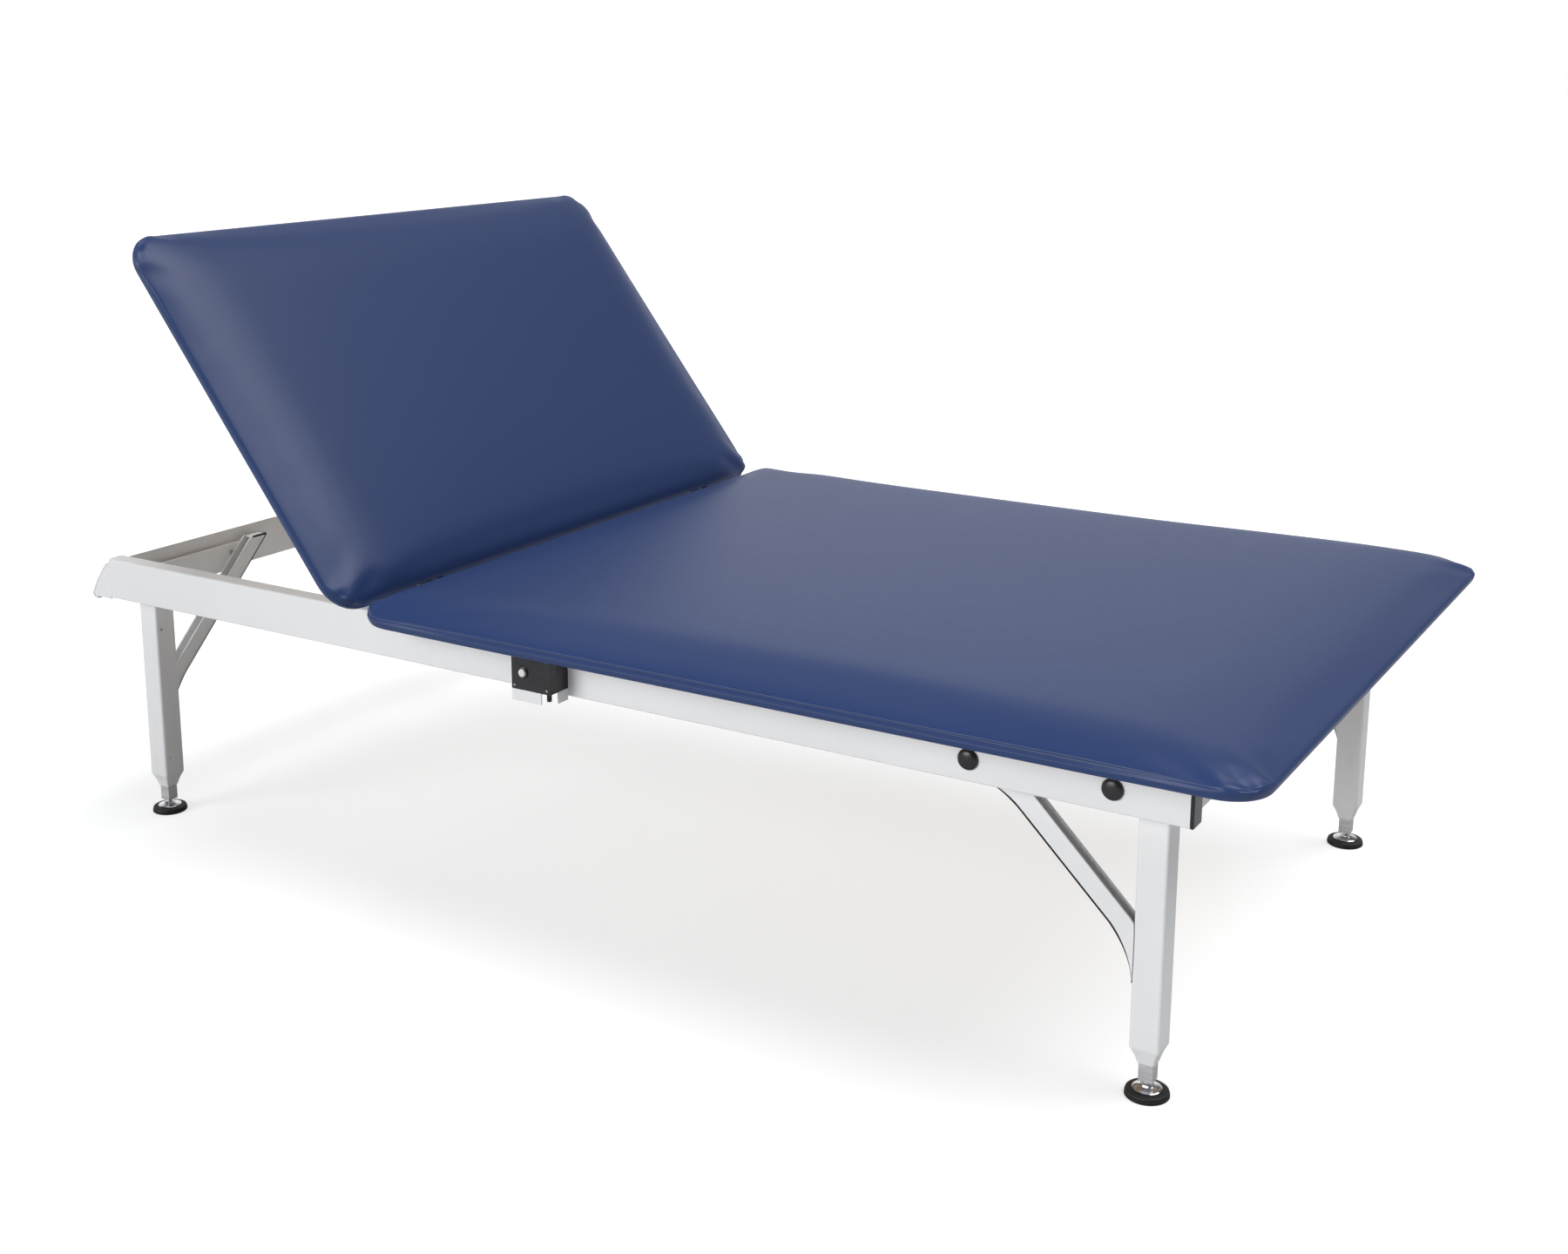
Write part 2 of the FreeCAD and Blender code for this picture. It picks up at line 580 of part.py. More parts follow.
def backrest_cushion():
    soft = cushion("backrest_pad_slab", BACK_SPAN, "dims.pad_thick - dims.buffer_thick", "dims.pad_edge")
    put(soft, (BACK_START, 0, BACK_BASE))
    turned(cut("backrest_pad", soft, hinge_relief("backrest_pad")), "backrest_pad")
    blank = put(board("backrest_board_blank", BACK_SPAN), (BACK_START, 0, BACK_BASE))
    screws, holes = [], []
    for side, sign in SIDES:
        for count, place in enumerate(BACK_SCREWS):
            name = "%s_%d" % (side, count)
            spot = (str(place), "%d * (dims.lug_side - 24)" % sign)
            screws.append(screw("back_screw_" + name, (spot[0], spot[1], BACK_BASE + " - 3"), "13"))
            holes.append(rod("back_hole_" + name, "2.8", "12", (spot[0], spot[1], BACK_BASE + " - 1")))
    relief = hinge_relief("backrest_board")
    turned(cut("backrest_board", blank, relief + holes), "backrest_board")
    turned(group("backrest_screws", screws), "backrest_screws")


def backrest_frame():
    """Two long tubes and three cross tubes under the board, flush with its underside."""
    middle_z = "(%s - dims.tube_side / 2)" % BACK_BASE
    length = "(%s - %s)" % (TUBE_TAIL, TUBE_HEAD)
    sides, crosses = [], []
    for side, sign in SIDES:
        long_tube = tube("backrest_side_tube_" + side, "dims.tube_side", "dims.tube_side",
                         "dims.tube_wall", length, "YZ_Plane")
        sides.append(put(long_tube, ("(%s + %s) / 2" % (TUBE_HEAD, TUBE_TAIL),
                                     "%d * dims.lug_side" % sign, middle_z)))
        tab_y = "%d * (dims.lug_side - 24) - 11.5" % sign
        for count, place in enumerate(BACK_SCREWS):
            name = "back_tab_%s_%d" % (side, count)
            blank = box(name + "_blank", ("30", "23", "3"),
                        (str(place - 15), tab_y, BACK_BASE + " - 3"))
            hole = rod(name + "_hole", "2.8", "8",
                       (str(place), "%d * (dims.lug_side - 24)" % sign, BACK_BASE + " - 5"))
            sides.append(cut(name, blank, [hole]))
    span = "2 * dims.lug_side - dims.tube_side"
    for count, place in enumerate(("%s + dims.tube_side / 2" % TUBE_HEAD, "-380")):
        cross = tube("backrest_cross_tube_%d" % count, "dims.tube_side", "dims.tube_side",
                     "dims.tube_wall", span, "XZ_Plane")
        crosses.append(put(cross, (place, 0, middle_z)))
    crosses.append(box("backrest_tail_bar", ("dims.tube_side", span, "10"),
                       (TUBE_TAIL + " - dims.tube_side", "-(%s) / 2" % span, BACK_BASE + " - 10")))
    turned(group("backrest_side_tubes", sides), "backrest_side_tubes")
    turned(group("backrest_cross_tubes", crosses), "backrest_cross_tubes")


def hinges():
    """Fixed lugs on the cross tube, knuckles with bushes on the backrest, and their pins."""
    wide = "(dims.lug_gap + 2 * dims.lug_plate)"
    pin = "dims.hinge_pin_dia / 2"
    lugs, pins, knuckles, bushes = [], [], [], []
    tube_face = "(dims.seat_start - 17 - dims.hinge_place)"
    drop = "(%s - 34 - dims.hinge_rise)" % RAIL_TOP
    cheek = [("-12", "4"), ("-12", "-8"), ("-4", drop), (tube_face, drop), (tube_face, "-8"),
             ("12", "4"), ("7", "12"), ("-7", "12")]
    arm = [("-17", BACK_BASE + " - dims.tube_side"), ("0", "-12"), ("10", "-6"), ("12", "2"),
           ("8", "9"), ("0", "12"), ("-8", "9"), ("-17", BACK_BASE)]
    for side, sign in SIDES:
        for count, offset in enumerate((-1, 1)):
            name = "hinge_lug_%s_%d" % (side, count)
            plate = prism(name + "_plate", cheek, "dims.lug_plate")
            centre = "%d * dims.lug_side + %d * (dims.lug_gap + dims.lug_plate) / 2" % (sign, offset)
            put(plate, (HINGE_X, centre, "dims.hinge_rise"))
            hole = rod(name + "_hole", pin + " + 0.05", "30",
                       (HINGE_X, centre + " - 15", "dims.hinge_rise"), "y")
            lugs.append(cut(name, plate, [hole]))
        name = "hinge_pin_" + side
        start = "%d * dims.lug_side - %s / 2" % (sign, wide)
        shank = rod(name + "_shank", pin, wide + " + 6", (HINGE_X, start, "dims.hinge_rise"), "y")
        head = rod(name + "_head", pin + " + 3", "4", (HINGE_X, start + " - 4", "dims.hinge_rise"), "y")
        pins.append(join(name, [head, shank]))
        name = "hinge_ring_" + side
        outer = rod(name + "_outer", pin + " + 3", "1.5",
                    (HINGE_X, start + " + %s + 1" % wide, "dims.hinge_rise"), "y")
        inner = rod(name + "_inner", pin, "1.5",
                    (HINGE_X, start + " + %s + 1" % wide, "dims.hinge_rise"), "y")
        pins.append(cut(name, outer, [inner]))
        name = "backrest_knuckle_" + side
        body = prism(name + "_body", arm, "dims.lug_gap - 3")
        put(body, (0, "%d * dims.lug_side" % sign, 0))
        bore = rod(name + "_bore", pin + " + 1.5", "60", (0, "%d * dims.lug_side - 30" % sign, 0), "y")
        knuckles.append(cut(name, body, [bore]))
        name = "hinge_bush_" + side
        bush_start = "%d * dims.lug_side - dims.lug_gap / 2 + 1" % sign
        outer = rod(name + "_outer", pin + " + 1.5", "dims.lug_gap - 2", (0, bush_start, 0), "y")
        inner = rod(name + "_inner", pin + " + 0.05", "dims.lug_gap - 2", (0, bush_start, 0), "y")
        bushes.append(cut(name, outer, [inner]))
    finish(group("hinge_lugs", lugs), "hinge_lugs")
    finish(group("hinge_pins", pins), "hinge_pins")
    turned(group("backrest_knuckles", knuckles), "backrest_knuckles")
    turned(group("hinge_bushes", bushes), "hinge_bushes")


def backrest_buffers():
    """Rubber buffers under the backrest's board, which land on the side rails when it is down."""
    buffers = []
    rise = "(dims.buffer_thick - 0.4)"
    for side, sign in SIDES:
        for count, place in enumerate((-545, -155)):
            spot = (place, "%d * (%s - dims.rail_wide / 2)" % (sign, HALF_WIDTH),
                    "%s - %s" % (BACK_BASE, rise))
            buffers.append(rod("buffer_%s_%d" % (side, count), "9", rise, spot))
    turned(group("backrest_buffers", buffers), "backrest_buffers")


# ---------------------------------------------------------------- actuator

PIVOT_X = "(%s - dims.pivot_back)" % HINGE_X
PIVOT_Z = "(dims.hinge_rise - dims.pivot_drop)"


def stroked(thing, label):
    """Lays a piece drawn along +X onto the line of the actuator."""
    put(thing, (PIVOT_X, 0, PIVOT_Z), "180 + dims.stroke_angle")
    return finish(thing, label)


def actuator():
    """Rear eye and gearcase, motor, outer tube, and the rod with its front eye and pin."""
    pin = "dims.actuator_pin_dia / 2"
    gear = box("gearcase_block", ("60", "46", "44"), ("28", "-23", "-22"))
    eye = rod("gearcase_eye", "14", "24", (0, -12, 0), "y")
    neck = box("gearcase_neck", ("34", "24", "28"), ("0", "-12", "-14"))
    eye_bore = rod("gearcase_bore", pin + " + 0.05", "30", (0, -15, 0), "y")
    stroked(cut("actuator_gearcase", join("gearcase_blank", [gear, eye, neck]), [eye_bore]),
            "actuator_gearcase")
    can = rod("motor_can", "21", "92", ("58", "23", "0"), "y")
    end_cap = rod("motor_end", "17", "6", ("58", "115", "0"), "y")
    stroked(join("actuator_motor_can", [can, end_cap]), "actuator_motor")
    outer = rod("outer_tube_outer", "17", "150", ("88", 0, 0), "x")
    inner = rod("outer_tube_inner", "11.05", "150", ("88", 0, 0), "x")
    stroked(cut("actuator_outer_tube", outer, [inner]), "actuator_outer_tube")
    reach = "dims.rod_reach"
    bar = rod("actuator_rod_bar", "11", reach + " - 170 - 12", ("170", 0, 0), "x")
    stroked(group("actuator_rod", [bar]), "actuator_rod")
    block = box("rod_eye_block", ("24", "20", "24"), (reach + " - 12", "-10", "-12"))
    bore = rod("rod_eye_bore", pin + " + 0.05", "24", (reach, -12, 0), "y")
    stroked(cut("actuator_rod_eye", block, [bore]), "actuator_rod_eye")
    front = rod("front_pin_shank", pin, "52", (reach, -26, 0), "y")
    stroked(group("actuator_front_pin", [front]), "actuator_front_pin")
    rear = rod("rear_pin", pin, "48", (PIVOT_X, -24, PIVOT_Z), "y")
    finish(rear, "actuator_rear_pin")


def actuator_bracket():
    """Two cheeks on the hinge cross tube that hold the actuator's rear pin."""
    tube_face = "(dims.seat_start - 17 - dims.hinge_place + dims.pivot_back)"
    under = "(%s - 50 - %s)" % (RAIL_TOP, PIVOT_Z)
    cheek = [("-14", "6"), ("-12", "-9"), ("0", "-14"), ("16", "-10"), (tube_face + " + 30", under),
             (tube_face, under), (tube_face, under + " + 26"), ("-2", "16")]
    cheeks = []
    for count, offset in enumerate((-1, 1)):
        name = "actuator_cheek_%d" % count
        plate = prism(name + "_plate", cheek, "6")
        put(plate, (PIVOT_X, "%d * 18" % offset, PIVOT_Z))
        hole = rod(name + "_hole", "dims.actuator_pin_dia / 2 + 0.05", "20",
                   (PIVOT_X, "%d * 18 - 10" % offset, PIVOT_Z), "y")
        cheeks.append(cut(name, plate, [hole]))
    finish(group("actuator_bracket", cheeks), "actuator_bracket")


def lift_lever():
    """Two plates under the backrest whose slots let the backrest stop if something is trapped."""
    radius = value("dims.lever_radius")
    down = math.radians(value("dims.lever_angle"))
    pin_x, pin_z = -radius * math.cos(down), -radius * math.sin(down)
    roof = BACK_BASE
    cheek = [(pin_x - 26, pin_z - 6), (pin_x - 14, pin_z - 22), (pin_x + 10, pin_z - 22),
             (pin_x + 26, pin_z - 8), (pin_x + 55, roof), (pin_x - 55, roof)]
    cheeks = []
    lean = math.radians(value("dims.slot_angle"))
    shift = value("dims.slot_shift")
    slot_x, slot_z = pin_x - shift * math.cos(lean), pin_z + shift * math.sin(lean)
    for count, offset in enumerate((-1, 1)):
        name = "lift_cheek_%d" % count
        plate = prism(name + "_plate", cheek, "6")
        put(plate, (0, "%d * 17" % offset, 0))
        long = box(name + "_slot_box", ("dims.slot_length - dims.slot_wide", "20", "dims.slot_wide"),
                   ("-(dims.slot_length - dims.slot_wide) / 2", "-10", "-dims.slot_wide / 2"))
        ends = [rod("%s_slot_end_%d" % (name, end), "dims.slot_wide / 2", "20",
                    ("%d * (dims.slot_length - dims.slot_wide) / 2" % end, "-10", 0), "y")
                for end in (-1, 1)]
        slot = join(name + "_slot", [long] + ends)
        put(slot, (slot_x, "%d * 17" % offset, slot_z), "dims.slot_angle")
        cheeks.append(cut(name, plate, [slot]))
    turned(group("lift_lever", cheeks), "lift_lever")


# ---------------------------------------------------------------- controls

def control_box():
    """The hand control on the near rail: a bracket, a case, a bezel, a button and a gland."""
    x = along("dims.control_start")
    back = "-%s" % HALF_WIDTH
    front = "(%s - dims.control_depth)" % back
    length, depth = "dims.control_length", "dims.control_depth"
    shelf_top = "(dims.rail_base + 13)"
    shelf = box("bracket_shelf", (length, depth, "18"), (x, front, "%s - 18" % shelf_top))
    inside = box("bracket_inside", (length + " - 4", depth + " - 2", "18"),
                 (x + " + 2", front + " + 2", "%s - 20" % shelf_top))
    notch = box("bracket_notch", ("20", "20", "30"),
                (x + " + dims.control_length - 17", front + " - 1", "%s - 24" % shelf_top))
    finish(cut("control_box_bracket", shelf, [inside, notch]), "control_box_bracket")
    case = box("case_outer", (length, depth, "dims.control_height"), (x, front, shelf_top))
    room = box("case_room", (length + " - 5", depth + " - 2.5", "dims.control_height - 5"),
               (x + " + 2.5", front + " + 2.5", shelf_top + " + 2.5"))
    centre_x, centre_z = x + " + 21", "(%s + 27)" % shelf_top
    hole = rod("case_hole", "dims.button_dia / 2 + 1.5", "10", (centre_x, front + " - 5", centre_z), "y")
    cable_x, cable_y = x + " + dims.control_length - 9", front + " + 9"
    gland_hole = rod("case_gland_hole", "4.2", "8", (cable_x, cable_y, shelf_top + " - 2"))
    finish(cut("control_box_case", case, [room, hole, gland_hole]), "control_box_case")
    ring = rod("bezel_ring", "dims.button_dia / 2 + 3.5", "2", (centre_x, front + " - 2", centre_z), "y")
    barrel = rod("bezel_barrel", "dims.button_dia / 2 + 1.4", "12", (centre_x, front, centre_z), "y")
    bore = rod("bezel_bore", "dims.button_dia / 2 + 0.1", "30", (centre_x, front + " - 6", centre_z), "y")
    finish(cut("button_bezel", join("bezel_blank", [ring, barrel]), [bore]), "button_bezel")
    sleeve = rod("gland_sleeve", "3.9", "17", (cable_x, cable_y, shelf_top + " - 13"))
    collar = rod("gland_collar", "6", "2.5", (cable_x, cable_y, shelf_top + " + 2.6"))
    finish(join("cable_gland", [sleeve, collar]), "cable_gland")
    button = rod("push_button", "dims.button_dia / 2", "14", (centre_x, front + " - 4", centre_z), "y")
    finish(button, "push_button")


def power_pack():
    """The supply and control unit on a hanger under the seat, with its lid and mains inlet."""
    x, y = along(1190), "(-90)"
    top = "(%s - 30)" % RAIL_TOP
    hanger = box("power_hanger", ("260", "60", "3"), (along(1170 - 70), "-30", top + " - 3"))
    finish(hanger, "power_pack_hanger")
    case = box("power_case", ("150", "180", "52"), (x + " - 75", y, top + " - 55"))
    room = box("power_room", ("144", "174", "50"), (x + " - 72", y + " + 3", top + " - 58"))
    socket = box("power_socket_gap", ("28", "10", "21"), (x + " - 14", y + " - 2", top + " - 40"))
    finish(cut("power_pack_case", case, [room, socket]), "power_pack_case")
    lid = box("power_lid", ("150", "180", "4"), (x + " - 75", y, top + " - 59"))
    finish(lid, "power_pack_lid")
    block = box("inlet_block", ("27.6", "22", "20.6"), (x + " - 13.8", y + " - 2", top + " - 39.8"))
    gap = box("inlet_gap", ("22", "16", "15"), (x + " - 11", y + " - 4", top + " - 37"))
    finish(cut("mains_inlet", block, [gap]), "mains_inlet")


side_rails()
head_guard()
cross_tubes()
rail_end_caps()
for end in ENDS:
    for side, sign in SIDES:
        leg(end, side, sign)
        levelling_foot(end, side, sign)
for side, sign in SIDES:
    foot_brace(side, sign)
    head_brace(side, sign)
leg_plates()
leg_bolts()
leg_necks()
seat()
backrest_cushion()
backrest_frame()
hinges()
backrest_buffers()
actuator()
actuator_bracket()
lift_lever()
control_box()
power_pack()
doc.recompute()

for thing in doc.Objects:
    if "Invalid" in thing.State or "Error" in thing.State:
        raise RuntimeError("%s is %s" % (thing.Name, thing.State))
for thing in FINISHED:
    if thing.Shape.isNull() or not thing.Shape.isValid() or not thing.Shape.Solids:
        raise RuntimeError("%s has no valid solid" % thing.Label)

os.makedirs("parts", exist_ok=True)
for thing in FINISHED:
    thing.Shape.exportStep(os.path.join("parts", thing.Label + ".step"))
    print("%-26s %9.1f cm3  %d solids" % (thing.Label, thing.Shape.Volume / 1000, len(thing.Shape.Solids)))
print(len(FINISHED), "sub-parts")
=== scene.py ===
import json
import math
import random

import bmesh
import bpy
from mathutils import Matrix, Vector


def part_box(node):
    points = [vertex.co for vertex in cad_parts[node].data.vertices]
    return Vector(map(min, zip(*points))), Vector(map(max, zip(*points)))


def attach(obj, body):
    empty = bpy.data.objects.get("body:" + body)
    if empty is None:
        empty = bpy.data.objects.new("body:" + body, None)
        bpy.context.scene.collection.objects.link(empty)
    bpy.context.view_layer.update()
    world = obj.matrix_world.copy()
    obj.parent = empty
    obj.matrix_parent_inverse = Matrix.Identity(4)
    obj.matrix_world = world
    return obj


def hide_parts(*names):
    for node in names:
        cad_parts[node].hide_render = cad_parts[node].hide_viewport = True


# The looks of the examination couch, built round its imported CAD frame.
# Lengths are metres in the row's frame; MM turns millimetres into metres.

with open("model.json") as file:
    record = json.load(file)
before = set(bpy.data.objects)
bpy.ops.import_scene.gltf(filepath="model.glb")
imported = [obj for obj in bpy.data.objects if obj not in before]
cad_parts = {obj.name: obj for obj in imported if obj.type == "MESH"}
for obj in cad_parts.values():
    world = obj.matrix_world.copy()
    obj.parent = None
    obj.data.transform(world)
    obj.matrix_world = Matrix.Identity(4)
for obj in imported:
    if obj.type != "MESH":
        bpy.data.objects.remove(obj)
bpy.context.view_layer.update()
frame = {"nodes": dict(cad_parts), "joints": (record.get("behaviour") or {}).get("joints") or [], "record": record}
NODES = frame["nodes"]
MM = 0.001
DICE = random.Random(7)

HINGE = next(joint for joint in frame["joints"] if joint["name"] == "backrest_hinge")
HINGE_AXIS = Vector(HINGE["pos_m"])
RAISED = -math.radians(HINGE["range_deg"][0])
UPRIGHT = Matrix.Translation(HINGE_AXIS) @ Matrix.Rotation(RAISED, 4, "Y")
ENDS = ("head", "foot")
SIDES = (("near", -1), ("far", 1))


def flat_box(node):
    """The lowest and highest corner of a backrest node, laid flat, from the hinge axis."""
    back = UPRIGHT.inverted()
    points = [back @ vertex.co for vertex in NODES[node].data.vertices]
    low = Vector([min(point[axis] for point in points) for axis in range(3)])
    high = Vector([max(point[axis] for point in points) for axis in range(3)])
    return low, high


# ---------------------------------------------------------------- camera, light and floor

def make_camera():
    data = bpy.data.cameras.new("camera")
    data.sensor_width = 36
    data.lens = 43.83
    data.shift_x = 0.0208
    data.shift_y = -0.10
    data.dof.use_dof = False
    camera = bpy.data.objects.new("camera", data)
    camera.location = (1.6539, -2.6948, 1.3313)
    camera.rotation_euler = (math.radians(90 - 12.18), 0, math.radians(121.8 - 90))
    bpy.context.scene.collection.objects.link(camera)
    bpy.context.scene.camera = camera


def add_sun(name, towards, strength, spread):
    """A soft sun that shines from a direction."""
    data = bpy.data.lights.new(name, "SUN")
    data.energy = strength
    data.angle = math.radians(spread)
    light = bpy.data.objects.new(name, data)
    light.rotation_euler = Vector(towards).to_track_quat("Z", "Y").to_euler()
    bpy.context.scene.collection.objects.link(light)


def make_studio():
    """A room that is bright behind the couch and dim in front, two soft suns and a pale floor."""
    world = bpy.data.worlds.new("studio")
    bpy.context.scene.world = world
    world.use_nodes = True
    tree = world.node_tree
    nodes, links = tree.nodes, tree.links
    nodes.clear()
    out = nodes.new("ShaderNodeOutputWorld")
    room = nodes.new("ShaderNodeBackground")
    room.inputs["Color"].default_value = (1, 1, 1, 1)
    place = nodes.new("ShaderNodeTexCoord")
    forward = nodes.new("ShaderNodeVectorMath")
    forward.operation = "DOT_PRODUCT"
    forward.inputs[1].default_value = (0.8, -0.5, 0.55)
    ramp = nodes.new("ShaderNodeMapRange")
    ramp.interpolation_type = "SMOOTHSTEP"
    ramp.inputs["From Min"].default_value = -0.68
    ramp.inputs["From Max"].default_value = -0.05
    ramp.inputs["To Min"].default_value = ROOM_BRIGHT
    ramp.inputs["To Max"].default_value = ROOM_DIM
    links.new(place.outputs["Generated"], forward.inputs[0])
    links.new(forward.outputs["Value"], ramp.inputs["Value"])
    links.new(ramp.outputs["Result"], room.inputs["Strength"])
    backdrop = nodes.new("ShaderNodeBackground")
    backdrop.inputs["Color"].default_value = (1, 1, 1, 1)
    backdrop.inputs["Strength"].default_value = BACKDROP
    path = nodes.new("ShaderNodeLightPath")
    mix = nodes.new("ShaderNodeMixShader")
    links.new(path.outputs["Is Camera Ray"], mix.inputs[0])
    links.new(room.outputs[0], mix.inputs[1])
    links.new(backdrop.outputs[0], mix.inputs[2])
    links.new(mix.outputs[0], out.inputs["Surface"])
    add_sun("key", (-0.4, -0.9, 0.32), KEY, 34)
    add_sun("top", (0.36, 0.2, 0.9), TOP, 50)
    half = 60
    corners = [(-half, -half, 0), (half, -half, 0), (half, half, 0), (-half, half, 0)]
    mesh = bpy.data.meshes.new("floor")
    mesh.from_pydata(corners, [], [(0, 1, 2, 3)])
    floor = bpy.data.objects.new("floor", mesh)
    bpy.context.scene.collection.objects.link(floor)
    mesh.materials.append(FLOOR)


# ---------------------------------------------------------------- materials

class Surface:
    """A node material: tones, gloss and relief from noise in the object's own metres."""

    def __init__(self, name, roughness, metallic=0.0, **sockets):
        self.material = bpy.data.materials.new(name)
        self.material.use_nodes = True
        self.tree = self.material.node_tree
        self.shader = self.tree.nodes["Principled BSDF"]
        self.place = self.tree.nodes.new("ShaderNodeTexCoord").outputs["Object"]
        self.height = None
        self.shader.inputs["Metallic"].default_value = metallic
        self.shader.inputs["Roughness"].default_value = roughness
        for socket, number in sockets.items():
            self.shader.inputs[socket.replace("_", " ")].default_value = number

    def node(self, kind, **settings):
        made = self.tree.nodes.new("ShaderNode" + kind)
        for name, setting in settings.items():
            setattr(made, name, setting)
        return made

    def link(self, source, target):
        self.tree.links.new(source, target)

    def stretched(self, scale):
        """Coordinates scaled along each axis, for grain with a direction."""
        mapping = self.node("Mapping")
        mapping.inputs["Scale"].default_value = scale
        self.link(self.place, mapping.inputs["Vector"])
        return mapping.outputs["Vector"]

    def noise(self, scale, detail=4.0, stretch=None):
        made = self.node("TexNoise")
        made.inputs["Scale"].default_value = scale
        made.inputs["Detail"].default_value = detail
        self.link(self.stretched(stretch) if stretch else self.place, made.inputs["Vector"])
        return made.outputs["Fac"]

    def cells(self, scale):
        made = self.node("TexVoronoi")
        made.inputs["Scale"].default_value = scale
        self.link(self.place, made.inputs["Vector"])
        return made.outputs["Distance"]

    def ramp(self, source, low, high, start, end):
        """Maps a pattern from a range onto two numbers."""
        made = self.node("MapRange")
        for socket, number in (("From Min", low), ("From Max", high), ("To Min", start), ("To Max", end)):
            made.inputs[socket].default_value = number
        self.link(source, made.inputs["Value"])
        return made.outputs["Result"]

    def tones(self, pattern, dark, light, low=0.35, high=0.65):
        """Colours the surface from dark to light by a pattern."""
        made = self.node("ValToRGB")
        made.color_ramp.elements[0].position = low
        made.color_ramp.elements[0].color = (*dark, 1)
        made.color_ramp.elements[1].position = high
        made.color_ramp.elements[1].color = (*light, 1)
        self.link(pattern, made.inputs["Fac"])
        self.link(made.outputs["Color"], self.shader.inputs["Base Color"])
        return made.outputs["Color"]

    def stain(self, colour, pattern, other):
        """Lays another colour over the tones where a pattern says."""
        made = self.node("Mix", data_type="RGBA")
        made.inputs["B"].default_value = (*other, 1)
        self.link(pattern, made.inputs["Factor"])
        self.link(colour, made.inputs["A"])
        self.link(made.outputs["Result"], self.shader.inputs["Base Color"])

    def gloss(self, pattern, low, high):
        self.link(self.ramp(pattern, 0.3, 0.7, low, high), self.shader.inputs["Roughness"])

    def relief(self, pattern, depth):
        """Adds a bump of a real depth, in metres."""
        made = self.node("Bump")
        made.inputs["Strength"].default_value = 1.0
        made.inputs["Distance"].default_value = depth
        self.link(pattern, made.inputs["Height"])
        if self.height:
            self.link(self.height, made.inputs["Normal"])
        self.height = made.outputs["Normal"]
        self.link(self.height, self.shader.inputs["Normal"])


def paint():
    made = Surface("white_powder_coat", 0.38, Specular_IOR_Level=0.45, Coat_Weight=0.12,
                   Coat_Roughness=0.22)
    colour = made.tones(made.noise(3.0), (0.80, 0.805, 0.815), (0.85, 0.855, 0.86))
    height = made.node("SeparateXYZ")
    made.link(made.place, height.inputs[0])
    low_down = made.ramp(height.outputs["Z"], 0.0, 0.22, 0.5, 0.0)
    scuffs = made.ramp(made.noise(38.0, 8.0, (1, 1, 0.25)), 0.56, 0.74, 0.0, 1.0)
    both = made.node("Math", operation="MULTIPLY")
    made.link(low_down, both.inputs[0])
    made.link(scuffs, both.inputs[1])
    made.stain(colour, both.outputs[0], (0.55, 0.55, 0.55))
    made.gloss(made.noise(14.0), 0.33, 0.45)
    made.relief(made.noise(420.0, 2.0), 0.00006)
    made.relief(made.noise(26.0, 2.0), 0.0002)
    return made.material


def vinyl():
    made = Surface("slate_blue_vinyl", 0.4, Specular_IOR_Level=0.34)
    made.tones(made.noise(1.4, 2.0), VINYL_DARK, VINYL_LIGHT, 0.2, 0.8)
    made.gloss(made.noise(90.0, 3.0), 0.395, 0.42)
    made.relief(made.cells(620.0), 0.00006)
    made.relief(made.noise(900.0, 3.0), 0.00003)
    return made.material


def plywood():
    made = Surface("birch_plywood", 0.6)
    made.tones(made.noise(7.0, 7.0, (0.4, 9.0, 0.4)), (0.50, 0.35, 0.20), (0.63, 0.47, 0.30), 0.25, 0.75)
    made.gloss(made.noise(40.0), 0.5, 0.7)
    made.relief(made.noise(120.0, 6.0, (0.1, 2.0, 2.0)), 0.0002)
    return made.material


def moulded(name, dark, light, rough, grain):
    """Moulded plastic or rubber with a fine texture."""
    made = Surface(name, rough, Specular_IOR_Level=0.5)
    made.tones(made.noise(20.0), dark, light)
    made.gloss(made.noise(50.0), rough - 0.06, rough + 0.06)
    made.relief(made.noise(grain, 2.0), 0.00005)
    return made.material


def metal(name, dark, light, rough, stretch, depth=0.00002, metallic=1.0):
    """Bare or plated metal, with drawn or turned marks along one direction."""
    made = Surface(name, rough, metallic)
    made.tones(made.noise(30.0, 5.0, stretch), dark, light)
    made.gloss(made.noise(90.0, 5.0, stretch), rough * 0.8, rough * 1.25)
    made.relief(made.noise(240.0, 3.0, stretch), depth)
    return made.material


def pale_floor():
    """A pale matt floor that looks brighter than the light it gives off."""
    made = Surface("pale_floor", 0.85, Specular_IOR_Level=0.05)
    made.shader.inputs["Emission Color"].default_value = (1, 1, 1, 1)
    seen = made.ramp(made.node("LightPath").outputs["Is Camera Ray"], 0, 1, 0, FLOOR_GLOW)
    made.link(seen, made.shader.inputs["Emission Strength"])
    made.tones(made.noise(0.6, 3.0), FLOOR_TONE, tuple(tone + 0.008 for tone in FLOOR_TONE))
    return made.material


ROOM_BRIGHT = 0.92
ROOM_DIM = 0.12
BACKDROP = 1.0
KEY = 1.85
TOP = 2.6
FLOOR_TONE = (0.58, 0.592, 0.608)
FLOOR_GLOW = 0.6
VINYL_DARK = (0.020, 0.044, 0.142)
VINYL_LIGHT = (0.022, 0.047, 0.150)

